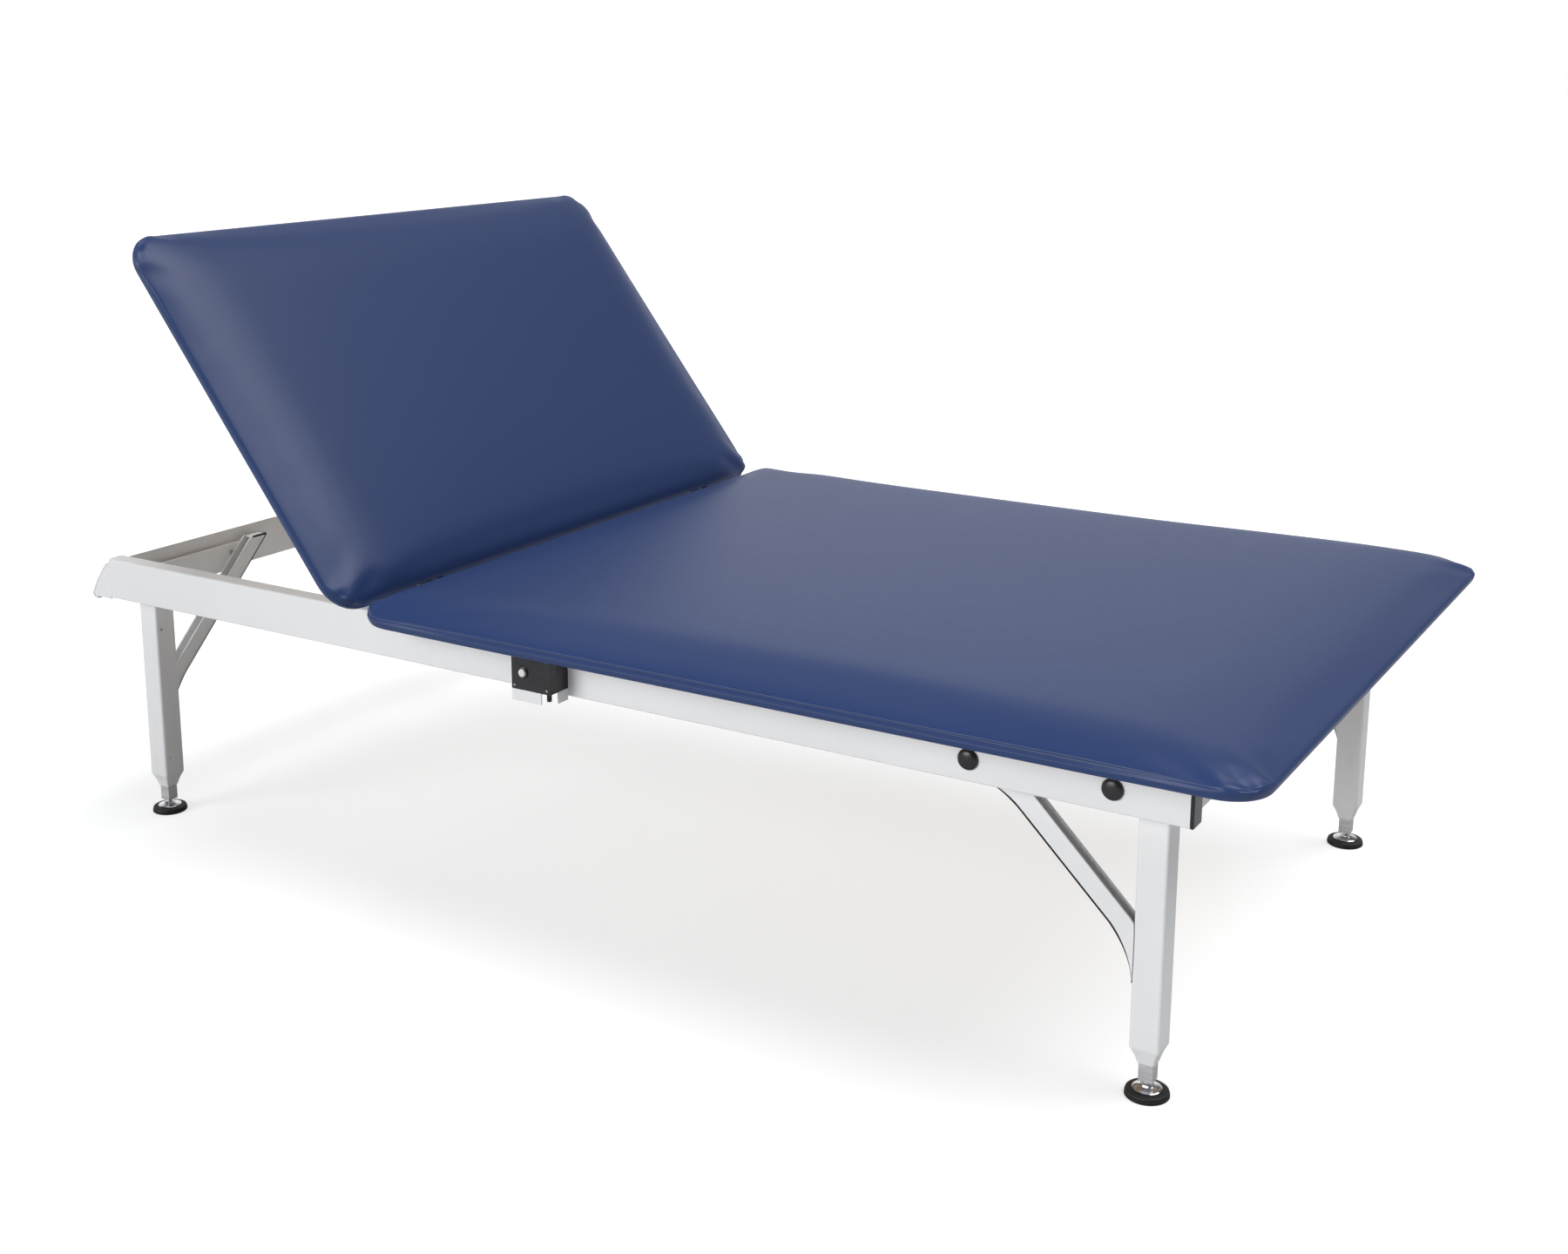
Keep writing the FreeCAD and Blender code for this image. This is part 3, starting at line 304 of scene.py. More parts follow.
FLOOR = pale_floor()
PAINT = paint()
VINYL = vinyl()
PLYWOOD = plywood()
BLACK_PLASTIC = moulded("black_plastic", (0.010, 0.010, 0.012), (0.016, 0.016, 0.018), 0.26, 900.0)
WHITE_PLASTIC = moulded("white_plastic", (0.78, 0.77, 0.75), (0.84, 0.83, 0.81), 0.25, 700.0)
RUBBER = moulded("black_rubber", (0.008, 0.008, 0.008), (0.018, 0.018, 0.018), 0.62, 500.0)
STEEL = metal("zinc_plated_steel", (0.52, 0.52, 0.53), (0.66, 0.66, 0.67), 0.42, (1, 1, 6), metallic=0.55)
CHROME = metal("chrome", (0.74, 0.75, 0.77), (0.82, 0.82, 0.84), 0.07, (1, 1, 1), 0.000004)
ALUMINIUM = metal("aluminium", (0.55, 0.56, 0.57), (0.68, 0.69, 0.70), 0.34, (4, 1, 4))
BRONZE = metal("sintered_bronze", (0.34, 0.22, 0.10), (0.48, 0.33, 0.16), 0.45, (1, 1, 1))
LOOK = {"white_paint": PAINT, "vinyl": VINYL, "plywood": PLYWOOD, "black_plastic": BLACK_PLASTIC,
        "white_plastic": WHITE_PLASTIC, "rubber": RUBBER, "bare_steel": STEEL, "chrome": CHROME,
        "aluminium": ALUMINIUM, "bronze": BRONZE}
SLOT_OF = {part["node"]: part["material_slot"] for part in frame["record"]["subparts"]}
BODY_OF = {node: body for body, nodes in frame["record"]["behaviour"]["bodies"].items()
           for node in nodes}


# ---------------------------------------------------------------- mesh helpers

def shade(mesh, sharp=38):
    """Smooth shading that keeps edges sharper than an angle."""
    mesh.shade_smooth()
    mesh.set_sharp_from_angle(angle=math.radians(sharp))


def applied(piece):
    """Replaces a piece's mesh by its modified one."""
    graph = bpy.context.evaluated_depsgraph_get()
    mesh = bpy.data.meshes.new_from_object(piece.evaluated_get(graph),
                                           preserve_all_data_layers=True, depsgraph=graph)
    piece.modifiers.clear()
    piece.data = mesh


def round_edges(piece, width, segments):
    """Rounds a piece's edges by a width in millimetres."""
    bevel = piece.modifiers.new("bevel", "BEVEL")
    bevel.width = width * MM
    bevel.segments = segments
    bevel.limit_method = "ANGLE"
    bevel.angle_limit = math.radians(33)
    applied(piece)


def settle(piece, slot, sharp=38):
    """Shades a piece, with normals set by its large faces, and gives it its material again."""
    shade(piece.data, sharp)
    weigh = piece.modifiers.new("weigh", "WEIGHTED_NORMAL")
    weigh.keep_sharp = True
    weigh.weight = 90
    applied(piece)
    piece.data.materials.clear()
    piece.data.materials.append(LOOK[slot])


def place_piece(name, mesh, nodes, slot, body):
    """Links a mesh as a piece that rides on a body and stands for some CAD nodes."""
    piece = bpy.data.objects.new(name, mesh)
    bpy.context.scene.collection.objects.link(piece)
    mesh.materials.clear()
    mesh.materials.append(LOOK[slot])
    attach(piece, body)
    if nodes:
        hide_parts(*nodes)
    return piece


def refine(node, edge):
    """A CAD node's own shape with its triangles merged and its edges rounded."""
    shape = bmesh.new()
    shape.from_mesh(NODES[node].data)
    bmesh.ops.remove_doubles(shape, verts=shape.verts, dist=0.02 * MM)
    bmesh.ops.dissolve_limit(shape, angle_limit=math.radians(1), verts=shape.verts, edges=shape.edges)
    bmesh.ops.recalc_face_normals(shape, faces=shape.faces)
    mesh = bpy.data.meshes.new(node)
    shape.to_mesh(mesh)
    shape.free()
    slot = SLOT_OF[node]
    piece = place_piece(node + "_finished", mesh, [node], slot, BODY_OF[node])
    round_edges(piece, edge, 3)
    settle(piece, slot)


class Builder:
    """Collects rings and turned shapes into one mesh."""

    def __init__(self):
        self.shape = bmesh.new()

    def loft(self, rings, closed=False):
        """Skins a list of rings, each a list of points."""
        made = [[self.shape.verts.new(point) for point in ring] for ring in rings]
        pairs = list(zip(made, made[1:]))
        if closed:
            pairs.append((made[-1], made[0]))
        for one, other in pairs:
            for here in range(len(one)):
                there = (here + 1) % len(one)
                self.shape.faces.new((one[here], one[there], other[there], other[here]))
        if not closed:
            self.shape.faces.new(list(reversed(made[0])))
            self.shape.faces.new(made[-1])

    def turn(self, profile, matrix, count=32, closed=False):
        """Turns a profile of (radius, height) about the matrix's own Z."""
        rings = []
        for radius, height in profile:
            rings.append([matrix @ Vector((radius * math.cos(step * math.tau / count),
                                           radius * math.sin(step * math.tau / count), height))
                          for step in range(count)])
        self.loft(rings, closed=closed)

    def block(self, low, high, matrix=Matrix.Identity(4)):
        """A box between two corners."""
        corners = [(low[0], low[1]), (high[0], low[1]), (high[0], high[1]), (low[0], high[1])]
        self.loft([[matrix @ Vector((x, y, z)) for x, y in corners] for z in (low[2], high[2])])

    def piece(self, name, nodes, slot, body, bevel=0.0, sharp=38):
        bmesh.ops.recalc_face_normals(self.shape, faces=self.shape.faces)
        mesh = bpy.data.meshes.new(name)
        self.shape.to_mesh(mesh)
        self.shape.free()
        made = place_piece(name, mesh, nodes, slot, body)
        if bevel:
            round_edges(made, bevel, 2)
        settle(made, slot, sharp)


def facing(place, direction):
    """A matrix at a place whose Z points along a direction."""
    turn = Vector(direction).to_track_quat("Z", "Y").to_matrix().to_4x4()
    return Matrix.Translation(place) @ turn


def rounded_square(centre, half_x, half_y, radius, height, steps=5):
    """A level ring: a rectangle with round corners."""
    ring = []
    for quarter, (sign_x, sign_y) in enumerate(((1, 1), (-1, 1), (-1, -1), (1, -1))):
        for step in range(steps + 1):
            angle = (quarter + step / steps) * math.pi / 2
            ring.append(Vector((centre[0] + sign_x * (half_x - radius) + radius * math.cos(angle),
                                centre[1] + sign_y * (half_y - radius) + radius * math.sin(angle),
                                height)))
    return ring


def middle(node):
    low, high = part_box(node)
    return (low + high) / 2


# ---------------------------------------------------------------- cushions

CORNER = 60 * MM
BOARD_INSET = 14 * MM
BOARD_THICK = 15 * MM
FULLNESS = 1.55
SQUARENESS = 3.4
RISE = 8 * MM
SWELL = 5 * MM


def stations(span):
    """Places of the grid lines across a cushion: close together at its edges."""
    near = [0, 1.5, 4, 8, 13, 19, 27, 36, 47, 60, 75, 93, 114, 138, 165, 195]
    near = [place * MM for place in near]
    inner = span - 2 * near[-1]
    count = math.ceil(inner / (24 * MM))
    across = [near[-1] + inner * step / count for step in range(1, count)]
    return near + across + [span - place for place in reversed(near)]


def corner_round(x, y, span_x, span_y):
    """Moves a grid point so that the plan's corners are round; also the way out of the cushion."""
    over_x = max(CORNER - x, x - (span_x - CORNER), 0) / CORNER
    over_y = max(CORNER - y, y - (span_y - CORNER), 0) / CORNER
    sign_x = -1 if x < span_x / 2 else 1
    sign_y = -1 if y < span_y / 2 else 1
    if over_x and over_y:
        round_x = over_x * math.sqrt(1 - over_y ** 2 / 2)
        round_y = over_y * math.sqrt(1 - over_x ** 2 / 2)
        centre_x = CORNER if sign_x < 0 else span_x - CORNER
        centre_y = CORNER if sign_y < 0 else span_y - CORNER
        out = Vector((sign_x * round_x, sign_y * round_y, 0)).normalized()
        point = Vector((centre_x + sign_x * round_x * CORNER, centre_y + sign_y * round_y * CORNER, 0))
        return point, out
    out = Vector((sign_x, 0, 0)) if over_x >= over_y else Vector((0, sign_y, 0))
    return Vector((x, y, 0)), out


def shoulder(point, span_x, span_y, widths):
    """How far a point is over the cushion's shoulders: 0 on the flat, 1 at the rim."""
    low_x, high_x, side = widths
    near_x = max(0.0, 1 - point.x / low_x, 1 - (span_x - point.x) / high_x)
    near_y = max(0.0, 1 - min(point.y, span_y - point.y) / side)
    return min(1.0, (near_x ** SQUARENESS + near_y ** SQUARENESS) ** (1 / SQUARENESS))


def crease_share(x, span_x, out):
    """How strongly the long sides' crease shows: it fades towards the corners."""
    clear = (min(x, span_x - x) - 0.4 * CORNER) / (3.5 * CORNER)
    return abs(out.y) ** 4 * min(1.0, max(0.0, clear)) ** 0.7


def stitch(shape, upper, lower):
    """Skins two closed rows of vertices."""
    for here in range(len(lower)):
        there = (here + 1) % len(lower)
        shape.faces.new((upper[here], upper[there], lower[there], lower[here]))


def cushion_shell(span_x, span_y, thick, widths, creased):
    """The vinyl of a cushion laid flat, from the low corner of its plan, open underneath.

    widths are those of its shoulders: at its low X end, its high X end and its long sides."""
    belly = 0.47 * thick
    crease = 0.36 * thick
    tuck = 9 * MM
    lines_x, lines_y = stations(span_x), stations(span_y)
    count_x, count_y = len(lines_x), len(lines_y)
    shape = bmesh.new()
    soft = shape.verts.layers.deform.verify()
    grid = {}
    for i, x in enumerate(lines_x):
        for j, y in enumerate(lines_y):
            point, _ = corner_round(x, y, span_x, span_y)
            over = shoulder(point, span_x, span_y, widths)
            point.z = belly + (thick - belly) * (1 - over ** FULLNESS) ** (1 / FULLNESS)
            grid[i, j] = shape.verts.new(point)
    for i in range(count_x - 1):
        for j in range(count_y - 1):
            shape.faces.new((grid[i, j], grid[i + 1, j], grid[i + 1, j + 1], grid[i, j + 1]))
    walk = [(i, 0) for i in range(count_x)] + [(count_x - 1, j) for j in range(1, count_y)]
    walk += [(i, count_y - 1) for i in range(count_x - 2, -1, -1)]
    walk += [(0, j) for j in range(count_y - 2, 0, -1)]
    # Rows below the belly: how far in they are where the crease shapes them, and their height.
    below = [(0.2, belly - 2.5 * MM), (2.2, crease + 2.4 * MM), (4.0, crease), (2.4, crease - 1.8 * MM),
             (0.9, crease - 4 * MM), (0.5, 0.27 * thick), (0.5, 0.18 * thick), (1.2, 0.09 * thick),
             (3.0, 0.03 * thick), (6.5, 0)]
    last = [grid[key] for key in walk]
    pinned = []
    for inset, height in below:
        row = []
        for i, j in walk:
            point, out = corner_round(lines_x[i], lines_y[j], span_x, span_y)
            share = crease_share(lines_x[i], span_x, out) if creased else 0.0
            plain = tuck * (1 - math.sqrt(max(0.0, 1 - (1 - height / belly) ** 2)))
            point = point - out * (inset * MM * share + plain * (1 - share))
            row.append(shape.verts.new((point.x, point.y, height)))
        stitch(shape, last, row)
        if height <= crease:
            pinned += row
        last = row
    for inset, height in ((BOARD_INSET, 0), (BOARD_INSET, BOARD_THICK + 0.3 * MM)):
        row = []
        for i, j in walk:
            point, out = corner_round(lines_x[i], lines_y[j], span_x, span_y)
            point = point - out * inset
            row.append(shape.verts.new((point.x, point.y, height)))
        stitch(shape, last, row)
        pinned += row
        last = row
    for vertex in pinned:
        vertex[soft][0] = 1.0
    bmesh.ops.recalc_face_normals(shape, faces=shape.faces)
    mesh = bpy.data.meshes.new("cushion")
    shape.to_mesh(mesh)
    shape.free()
    return mesh


def inflate(mesh, swell):
    """Lets the vinyl fill out under pressure, with its lower band held to the board."""
    trial = bpy.data.objects.new("trial", mesh)
    bpy.context.scene.collection.objects.link(trial)
    trial.vertex_groups.new(name="held")
    cloth = trial.modifiers.new("cloth", "CLOTH")
    cloth.settings.quality = 6
    cloth.settings.mass = 0.35
    cloth.settings.tension_stiffness = 25
    cloth.settings.compression_stiffness = 25
    cloth.settings.bending_stiffness = 2
    cloth.settings.use_pressure = True
    cloth.settings.uniform_pressure_force = 4
    cloth.settings.effector_weights.gravity = 0
    cloth.settings.vertex_group_mass = "held"
    for step in range(1, 21):
        bpy.context.scene.frame_set(step)
    graph = bpy.context.evaluated_depsgraph_get()
    filled = trial.evaluated_get(graph).data
    for vertex, moved in zip(mesh.vertices, filled.vertices):
        step = moved.co - vertex.co
        if step.length > 1e-7:
            vertex.co += step.normalized() * swell * math.tanh(step.length / swell)
    bpy.context.scene.frame_set(1)
    bpy.data.objects.remove(trial)


def crown(mesh, span_x, span_y, rise):
    """A slow rise towards the middle of the cushion's upper surface."""
    for vertex in mesh.vertices:
        along_x = 2 * vertex.co.x / span_x - 1
        along_y = 2 * vertex.co.y / span_y - 1
        bulge = (1 - along_x ** 4) * (1 - along_y ** 4)
        if vertex.co.z > 0.5 * rise:
            vertex.co.z += rise * max(0.0, bulge)


def cushion(name, node, low, high, matrix, widths, creased=False, notches=()):
    """A foam pad in taut vinyl, drawn flat and then set on its body."""
    size = high - low
    mesh = cushion_shell(size.x, size.y, size.z - RISE, widths, creased)
    inflate(mesh, SWELL)
    crown(mesh, size.x, size.y, RISE)
    piece = place_piece(name, mesh, [node], "vinyl", BODY_OF[node])
    smooth = piece.modifiers.new("smooth", "SUBSURF")
    smooth.levels = smooth.render_levels = 1
    applied(piece)
    close_underside(piece.data)
    piece.data.transform(matrix @ Matrix.Translation(low))
    for notch in notches:
        carve(piece, notch)
    piece.data.materials.clear()
    piece.data.materials.append(VINYL)
    shade(piece.data, 60)


def close_underside(mesh):
    """Closes the hole over the board with one face."""
    shape = bmesh.new()
    shape.from_mesh(mesh)
    rim = [edge for edge in shape.edges if edge.is_boundary]
    bmesh.ops.contextual_create(shape, geom=rim)
    bmesh.ops.recalc_face_normals(shape, faces=shape.faces)
    shape.to_mesh(mesh)
    shape.free()


def carve(piece, tool):
    """Cuts a tool's shape out of a piece."""
    bpy.context.scene.collection.objects.link(tool)
    cut = piece.modifiers.new("cut", "BOOLEAN")
    cut.operation = "DIFFERENCE"
    cut.solver = "EXACT"
    cut.object = tool
    applied(piece)
    bpy.data.objects.remove(tool)


def hinge_notches():
    """Round tools about the hinge axis that leave room for the lugs."""
    lugs = [vertex.co.y for vertex in NODES["hinge_lugs"].data.vertices]
    tools = []
    for sign in (-1, 1):
        mine = [y for y in lugs if y * sign > 0]
        start, end = min(mine) - 14 * MM, max(mine) + 14 * MM
        builder = Builder()
        base = Matrix.Translation((HINGE_AXIS.x, start, HINGE_AXIS.z))
        base = base @ Matrix.Rotation(-math.pi / 2, 4, "X")
        builder.turn([(18.5 * MM, 0), (18.5 * MM, end - start)], base, 48)
        bmesh.ops.recalc_face_normals(builder.shape, faces=builder.shape.faces)
        mesh = bpy.data.meshes.new("notch")
        builder.shape.to_mesh(mesh)
        builder.shape.free()
        tools.append(bpy.data.objects.new("notch", mesh))
    return tools


def hem(name, board, low, high, matrix):
    """The vinyl's turned-in edge on the underside of a board, with its staples."""
    builder = Builder()
    inset, wide, proud = BOARD_INSET - 1 * MM, 30 * MM, 0.7 * MM
    centre = (low + high) / 2
    half_x, half_y = (high.x - low.x) / 2, (high.y - low.y) / 2
    rings = []
    for across, height in ((0, 0.8 * MM), (0, -proud), (wide, -proud), (wide, 0.8 * MM)):
        rings.append([matrix @ point for point in
                      rounded_square(centre, half_x - inset - across, half_y - inset - across,
                                     max(CORNER - inset - across, 6 * MM), low.z + height, 8)])
    builder.loft(rings, closed=True)
    builder.piece(name + "_hem", [], "vinyl", BODY_OF[board])
    builder = Builder()
    line = inset + 0.6 * wide
    clear, pitch = 90 * MM, 42 * MM
    for start, end in (((half_x - clear, half_y - line), (-half_x + clear, half_y - line)),
                       ((half_x - clear, -half_y + line), (-half_x + clear, -half_y + line)),
                       ((half_x - line, half_y - clear), (half_x - line, -half_y + clear)),
                       ((-half_x + line, half_y - clear), (-half_x + line, -half_y + clear))):
        run = Vector(end) - Vector(start)
        count = round(run.length / pitch)
        for step in range(count + 1):
            place = Vector(start) + run * step / count
            spot = Vector((centre.x + place.x + DICE.uniform(-2, 2) * MM,
                           centre.y + place.y + DICE.uniform(-2, 2) * MM, low.z - proud))
            turn = Matrix.Rotation(math.radians(DICE.uniform(-14, 14)), 4, "Z")
            if abs(run.y) > abs(run.x):
                turn = Matrix.Rotation(math.pi / 2, 4, "Z") @ turn
            builder.block((-5 * MM, -0.5 * MM, -0.5 * MM), (5 * MM, 0.5 * MM, 0.3 * MM),
                          matrix @ Matrix.Translation(spot) @ turn)
    builder.piece(name + "_staples", [], "bare_steel", BODY_OF[board])


def make_cushions():
    low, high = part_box("seat_pad")
    level = Matrix.Identity(4)
    cushion("seat_cushion", "seat_pad", low, high, level, (30 * MM, 190 * MM, 100 * MM), True)
    hem("seat", "seat_board", low, high, level)
    low, high = flat_box("backrest_pad")
    cushion("backrest_cushion", "backrest_pad", low, high, UPRIGHT, (120 * MM, 26 * MM, 130 * MM),
            False, hinge_notches())
    hem("backrest", "backrest_board", low, high, UPRIGHT)


# ---------------------------------------------------------------- frame

def make_legs():
    """Square tubes with rounded corners, swaged in over the necks."""
    for end in ENDS:
        for side, _ in SIDES:
            node = "leg_%s_%s" % (end, side)
            low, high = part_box(node)
            centre = (low + high) / 2
            half = (high.x - low.x) / 2
            neck = 12 * MM
            shoulder_top = low.z + 24 * MM
            builder = Builder()
            rings = [rounded_square(centre, neck - 1 * MM, neck - 1 * MM, 2 * MM, low.z),
                     rounded_square(centre, neck, neck, 2.5 * MM, low.z + 0.6 * MM)]
            for step in range(1, 9):
                share = step / 8
                size = neck + (half - neck) * (0.55 * share + 0.45 * share * share)
                rings.append(rounded_square(centre, size, size, (2.5 + 2 * share) * MM,
                                            low.z + share * (shoulder_top - low.z)))
            rings.append(rounded_square(centre, half, half, 4.5 * MM, shoulder_top + 3 * MM))
            rings.append(rounded_square(centre, half, half, 4.5 * MM, high.z))
            builder.loft(rings)
            builder.piece(node + "_finished", [node], "white_paint", BODY_OF[node], sharp=30)


def bent(start, bend, end):
    """Points along a curve that leaves start towards bend and reaches end from it."""
    points = []
    steps = 10
    for step in range(steps + 1):
        share = step / steps
        weights = ((1 - share) ** 2, 2 * share * (1 - share), share ** 2)
        points.append(tuple(sum(weight * point[axis] for weight, point in zip(weights, (start, bend, end)))
                            for axis in range(2)))
    return points


def brace_lines(reach, foot, top, flared_top):
    """The outer and inner edge of a brace's side, as distance from the leg and height."""
    flare, deep = 42 * MM, 42 * MM
    outer = bent((0, foot - flare), (1 * MM, foot - 4 * MM), (flare * 0.8, foot + flare * 0.8 + 1 * MM))
    inner = bent((0, foot + deep - 4 * MM), (0, foot + deep), (6 * MM, foot + deep + 6 * MM))
    if flared_top:
        outer += bent((reach - flare * 0.8, top - flare * 0.8 - 1 * MM), (reach + 4 * MM, top - 1 * MM),
                      (reach + flare, top))
    else:
        outer += bent((reach - 14 * MM, top - 14 * MM), (reach - 3 * MM, top - 3 * MM),
                      (reach - 4 * MM, top))
    inner += bent((reach - deep - 6 * MM, top - 6 * MM), (reach - deep, top),
                  (reach - deep + 4 * MM, top))
    return outer, inner


def brace(node, away, across, flared_top):
    """A pressed channel from a leg up to the rails, with its ends spread where they are welded.

    away points from the leg, across is over the channel's width; its open side faces the corner."""
    low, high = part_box(node)
    wall = 3 * MM
    away, across = Vector(away), Vector(across)
    corner = Vector((high.x if away.x < 0 else low.x, high.y if away.y < 0 else low.y, 0))
    wide = (high - low).dot(across)
    corner -= across * corner.dot(across) - across * low.dot(across)
    outer, inner = brace_lines(abs((high - low).dot(away)), low.z, high.z, flared_top)
    skin = web_line(outer, inner, wall)

    def spot(point, level):
        return corner + away * point[0] + Vector((0, 0, point[1])) + across * level

    builder = Builder()
    for start, end in ((0, wall), (wide - wall, wide)):
        builder.loft([[spot(one, start), spot(one, end), spot(other, end), spot(other, start)]
                      for one, other in zip(outer, inner)])
    builder.loft([[spot(one, 0), spot(one, wide), spot(other, wide), spot(other, 0)]
                  for one, other in zip(outer, skin)])
    if not flared_top:
        closing = []
        for point in (outer[-1], inner[-1]):
            under = (point[0], point[1] - wall)
            closing.append([spot(point, 0), spot(point, wide), spot(under, wide), spot(under, 0)])
        builder.loft(closing)
    builder.piece(node + "_finished", [node], "white_paint", BODY_OF[node], 0.9, 40)


def web_line(outer, inner, wall):
    """The outer line moved inwards by the wall's thickness."""
    moved = []
    for one, other in zip(outer, inner):
        step = Vector((other[0] - one[0], other[1] - one[1]))
        moved.append((one[0] + step.x / step.length * wall, one[1] + step.y / step.length * wall))
    return moved


def solids(node):
    """The low and high corners of each separate solid in a node."""
    shape = bmesh.new()
    shape.from_mesh(NODES[node].data)
    bmesh.ops.remove_doubles(shape, verts=shape.verts, dist=0.02 * MM)
    left = set(shape.verts)
    found = []
    while left:
        group, front = set(), [left.pop()]
        while front:
            vertex = front.pop()
            group.add(vertex)
            for edge in vertex.link_edges:
                other = edge.other_vert(vertex)
                if other in left:
                    left.remove(other)
                    front.append(other)
        corners = [Vector([pick(vertex.co[axis] for vertex in group) for axis in range(3)])
                   for pick in (min, max)]
        found.append(tuple(corners))
    shape.free()
    return sorted(found, key=lambda corners: tuple(corners[0]))


def hexagon(builder, matrix, across, low, high):
    """A hexagon nut's body with chamfered ends, about the matrix's own Z."""
    size = across / math.sqrt(3)
    rings = []
    for radius, height in ((size * 0.93, low), (size, low + 0.6 * MM), (size, high - 0.6 * MM),
                           (size * 0.93, high)):
        rings.append([matrix @ Vector((radius * math.cos(step * math.tau / 6),
                                       radius * math.sin(step * math.tau / 6), height))
                      for step in range(6)])
    builder.loft(rings)


def thread(builder, matrix, radius, low, high, pitch):
    """A threaded length, as close turned ridges."""
    profile = []
    count = max(1, round((high - low) / pitch))
    for step in range(count):
        height = low + (high - low) * step / count
        profile += [(radius - 0.5 * MM, height), (radius, height + pitch * 0.45)]
    profile.append((radius - 0.5 * MM, high))
    builder.turn(profile, matrix, 24)


def make_bolts():
    """Bolts through the rails: black domed caps outside, hexagon nuts and thread inside."""
    caps, metal_parts = Builder(), Builder()
    cap = 7 * MM
    for low, high in solids("leg_bolts"):
        centre, size = (low + high) / 2, high - low
        if size.y > size.x:
            outward = -1 if centre.y < 0 else 1
            face = centre.copy()
            face.y = (high.y if outward > 0 else low.y) - outward * cap
            out = facing(face, (0, outward, 0))
            caps.turn([(12 * MM, -0.3 * MM), (14.6 * MM, 0), (15 * MM, 0.7 * MM), (14.9 * MM, 1.9 * MM),
                       (14.2 * MM, 3.2 * MM), (12.4 * MM, 4.8 * MM), (9.6 * MM, 6.0 * MM),
                       (6.2 * MM, 6.7 * MM), (2.6 * MM, 6.98 * MM), (0.01 * MM, cap)], out, 40)
            inside = -(size.y - cap)
            metal_parts.turn([(5 * MM, inside + 12 * MM), (5 * MM, -1 * MM)], out, 20)
            thread(metal_parts, out, 5 * MM, inside, inside + 4.4 * MM, 1.1 * MM)
            metal_parts.turn([(5.4 * MM, inside + 11.2 * MM), (10 * MM, inside + 11.2 * MM),
                              (10 * MM, inside + 12 * MM), (5.4 * MM, inside + 12 * MM)], out, 28)
            hexagon(metal_parts, out, 16 * MM, inside + 4.2 * MM, inside + 11.2 * MM)
        else:
            start = Vector((low.x, centre.y, centre.z))
            out = facing(start, (1, 0, 0))
            hexagon(metal_parts, out, 16 * MM, 0, 5.6 * MM)
            metal_parts.turn([(5 * MM, -0.2 * MM), (5 * MM, size.x)], out, 20)
    caps.piece("bolt_caps", ["leg_bolts"], "black_plastic", "frame", sharp=50)
    metal_parts.piece("bolts_and_nuts", ["leg_bolts"], "bare_steel", "frame", sharp=30)


def bead(builder, start, end, normal, radius=2.2 * MM):
    """A weld bead: a rippled half-round run between two points."""
    start, end, normal = Vector(start), Vector(end), Vector(normal).normalized()
    run = end - start
    side = run.normalized().cross(normal)
    count = max(3, round(run.length / (1.6 * MM)))
    rings = []
    for step in range(count + 1):
        share = step / count
        size = radius * (0.35 if step in (0, count) else 0.86 + 0.14 * math.cos(step * math.pi))
        size *= 1 + DICE.uniform(-0.06, 0.06)
        centre = start + run * share
        rings.append([centre + side * size * math.cos(turn * math.tau / 8)
                      + normal * size * 0.8 * math.sin(turn * math.tau / 8) for turn in range(8)])
    builder.loft(rings)


def make_welds():
    """Weld beads where legs and braces meet the rails."""
    builder = Builder()
    below, above, thin = 26 * MM, 34 * MM, 1.6 * MM
    for side, sign in SIDES:
        rail_low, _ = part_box("side_rail_" + side)
        for end in ENDS:
            low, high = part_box("leg_%s_%s" % (end, side))
            face = high.y if sign > 0 else low.y
            bead(builder, (low.x, face, rail_low.z), (high.x, face, rail_low.z), (0, sign, -1))
        low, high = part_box("brace_foot_" + side)
        for y, out in ((low.y, -1), (high.y, 1)):
            bead(builder, (low.x - below, y, high.z), (low.x + 36 * MM, y, high.z), (0, out, -0.6), thin)
            bead(builder, (high.x, y, low.z - below), (high.x, y, low.z + above), (-0.6, out, 0), thin)
        low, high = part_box("brace_head_" + side)
        face = low.y if sign < 0 else high.y
        for x, out in ((low.x, -1), (high.x, 1)):
            bead(builder, (x, face, low.z - below), (x, face, low.z + above), (out, -sign * 0.6, 0), thin)
    builder.piece("weld_beads", [], "white_paint", "frame", sharp=60)


def make_frame():
    for node, edge in (("side_rail_near", 0.7), ("side_rail_far", 0.7), ("head_rail", 0.9),
                       ("head_rail_end_plates", 0.8), ("foot_rail", 0.7), ("hinge_cross_tube", 0.7),
                       ("seat_bearers", 0.7), ("leg_plates", 1.0), ("leg_plate_spacers", 0.8),
                       ("leg_necks", 1.2), ("rail_end_caps", 2.6), ("hinge_lugs", 0.8),
                       ("hinge_pins", 0.6), ("backrest_knuckles", 0.8), ("hinge_bushes", 0.3),
                       ("backrest_side_tubes", 0.6), ("backrest_cross_tubes", 0.6), ("lift_lever", 0.8),
                       ("seat_clips", 0.8), ("seat_screws", 0.6), ("backrest_screws", 0.6),
                       ("seat_board", 0.8), ("backrest_board", 0.8), ("backrest_buffers", 0.6)):
        refine(node, edge)
    for side, sign in SIDES:
        brace("brace_foot_" + side, (-1, 0, 0), (0, 1, 0), True)
        brace("brace_head_" + side, (0, -sign, 0), (1, 0, 0), False)
    make_bolts()
    make_welds()
    make_leg_screws()


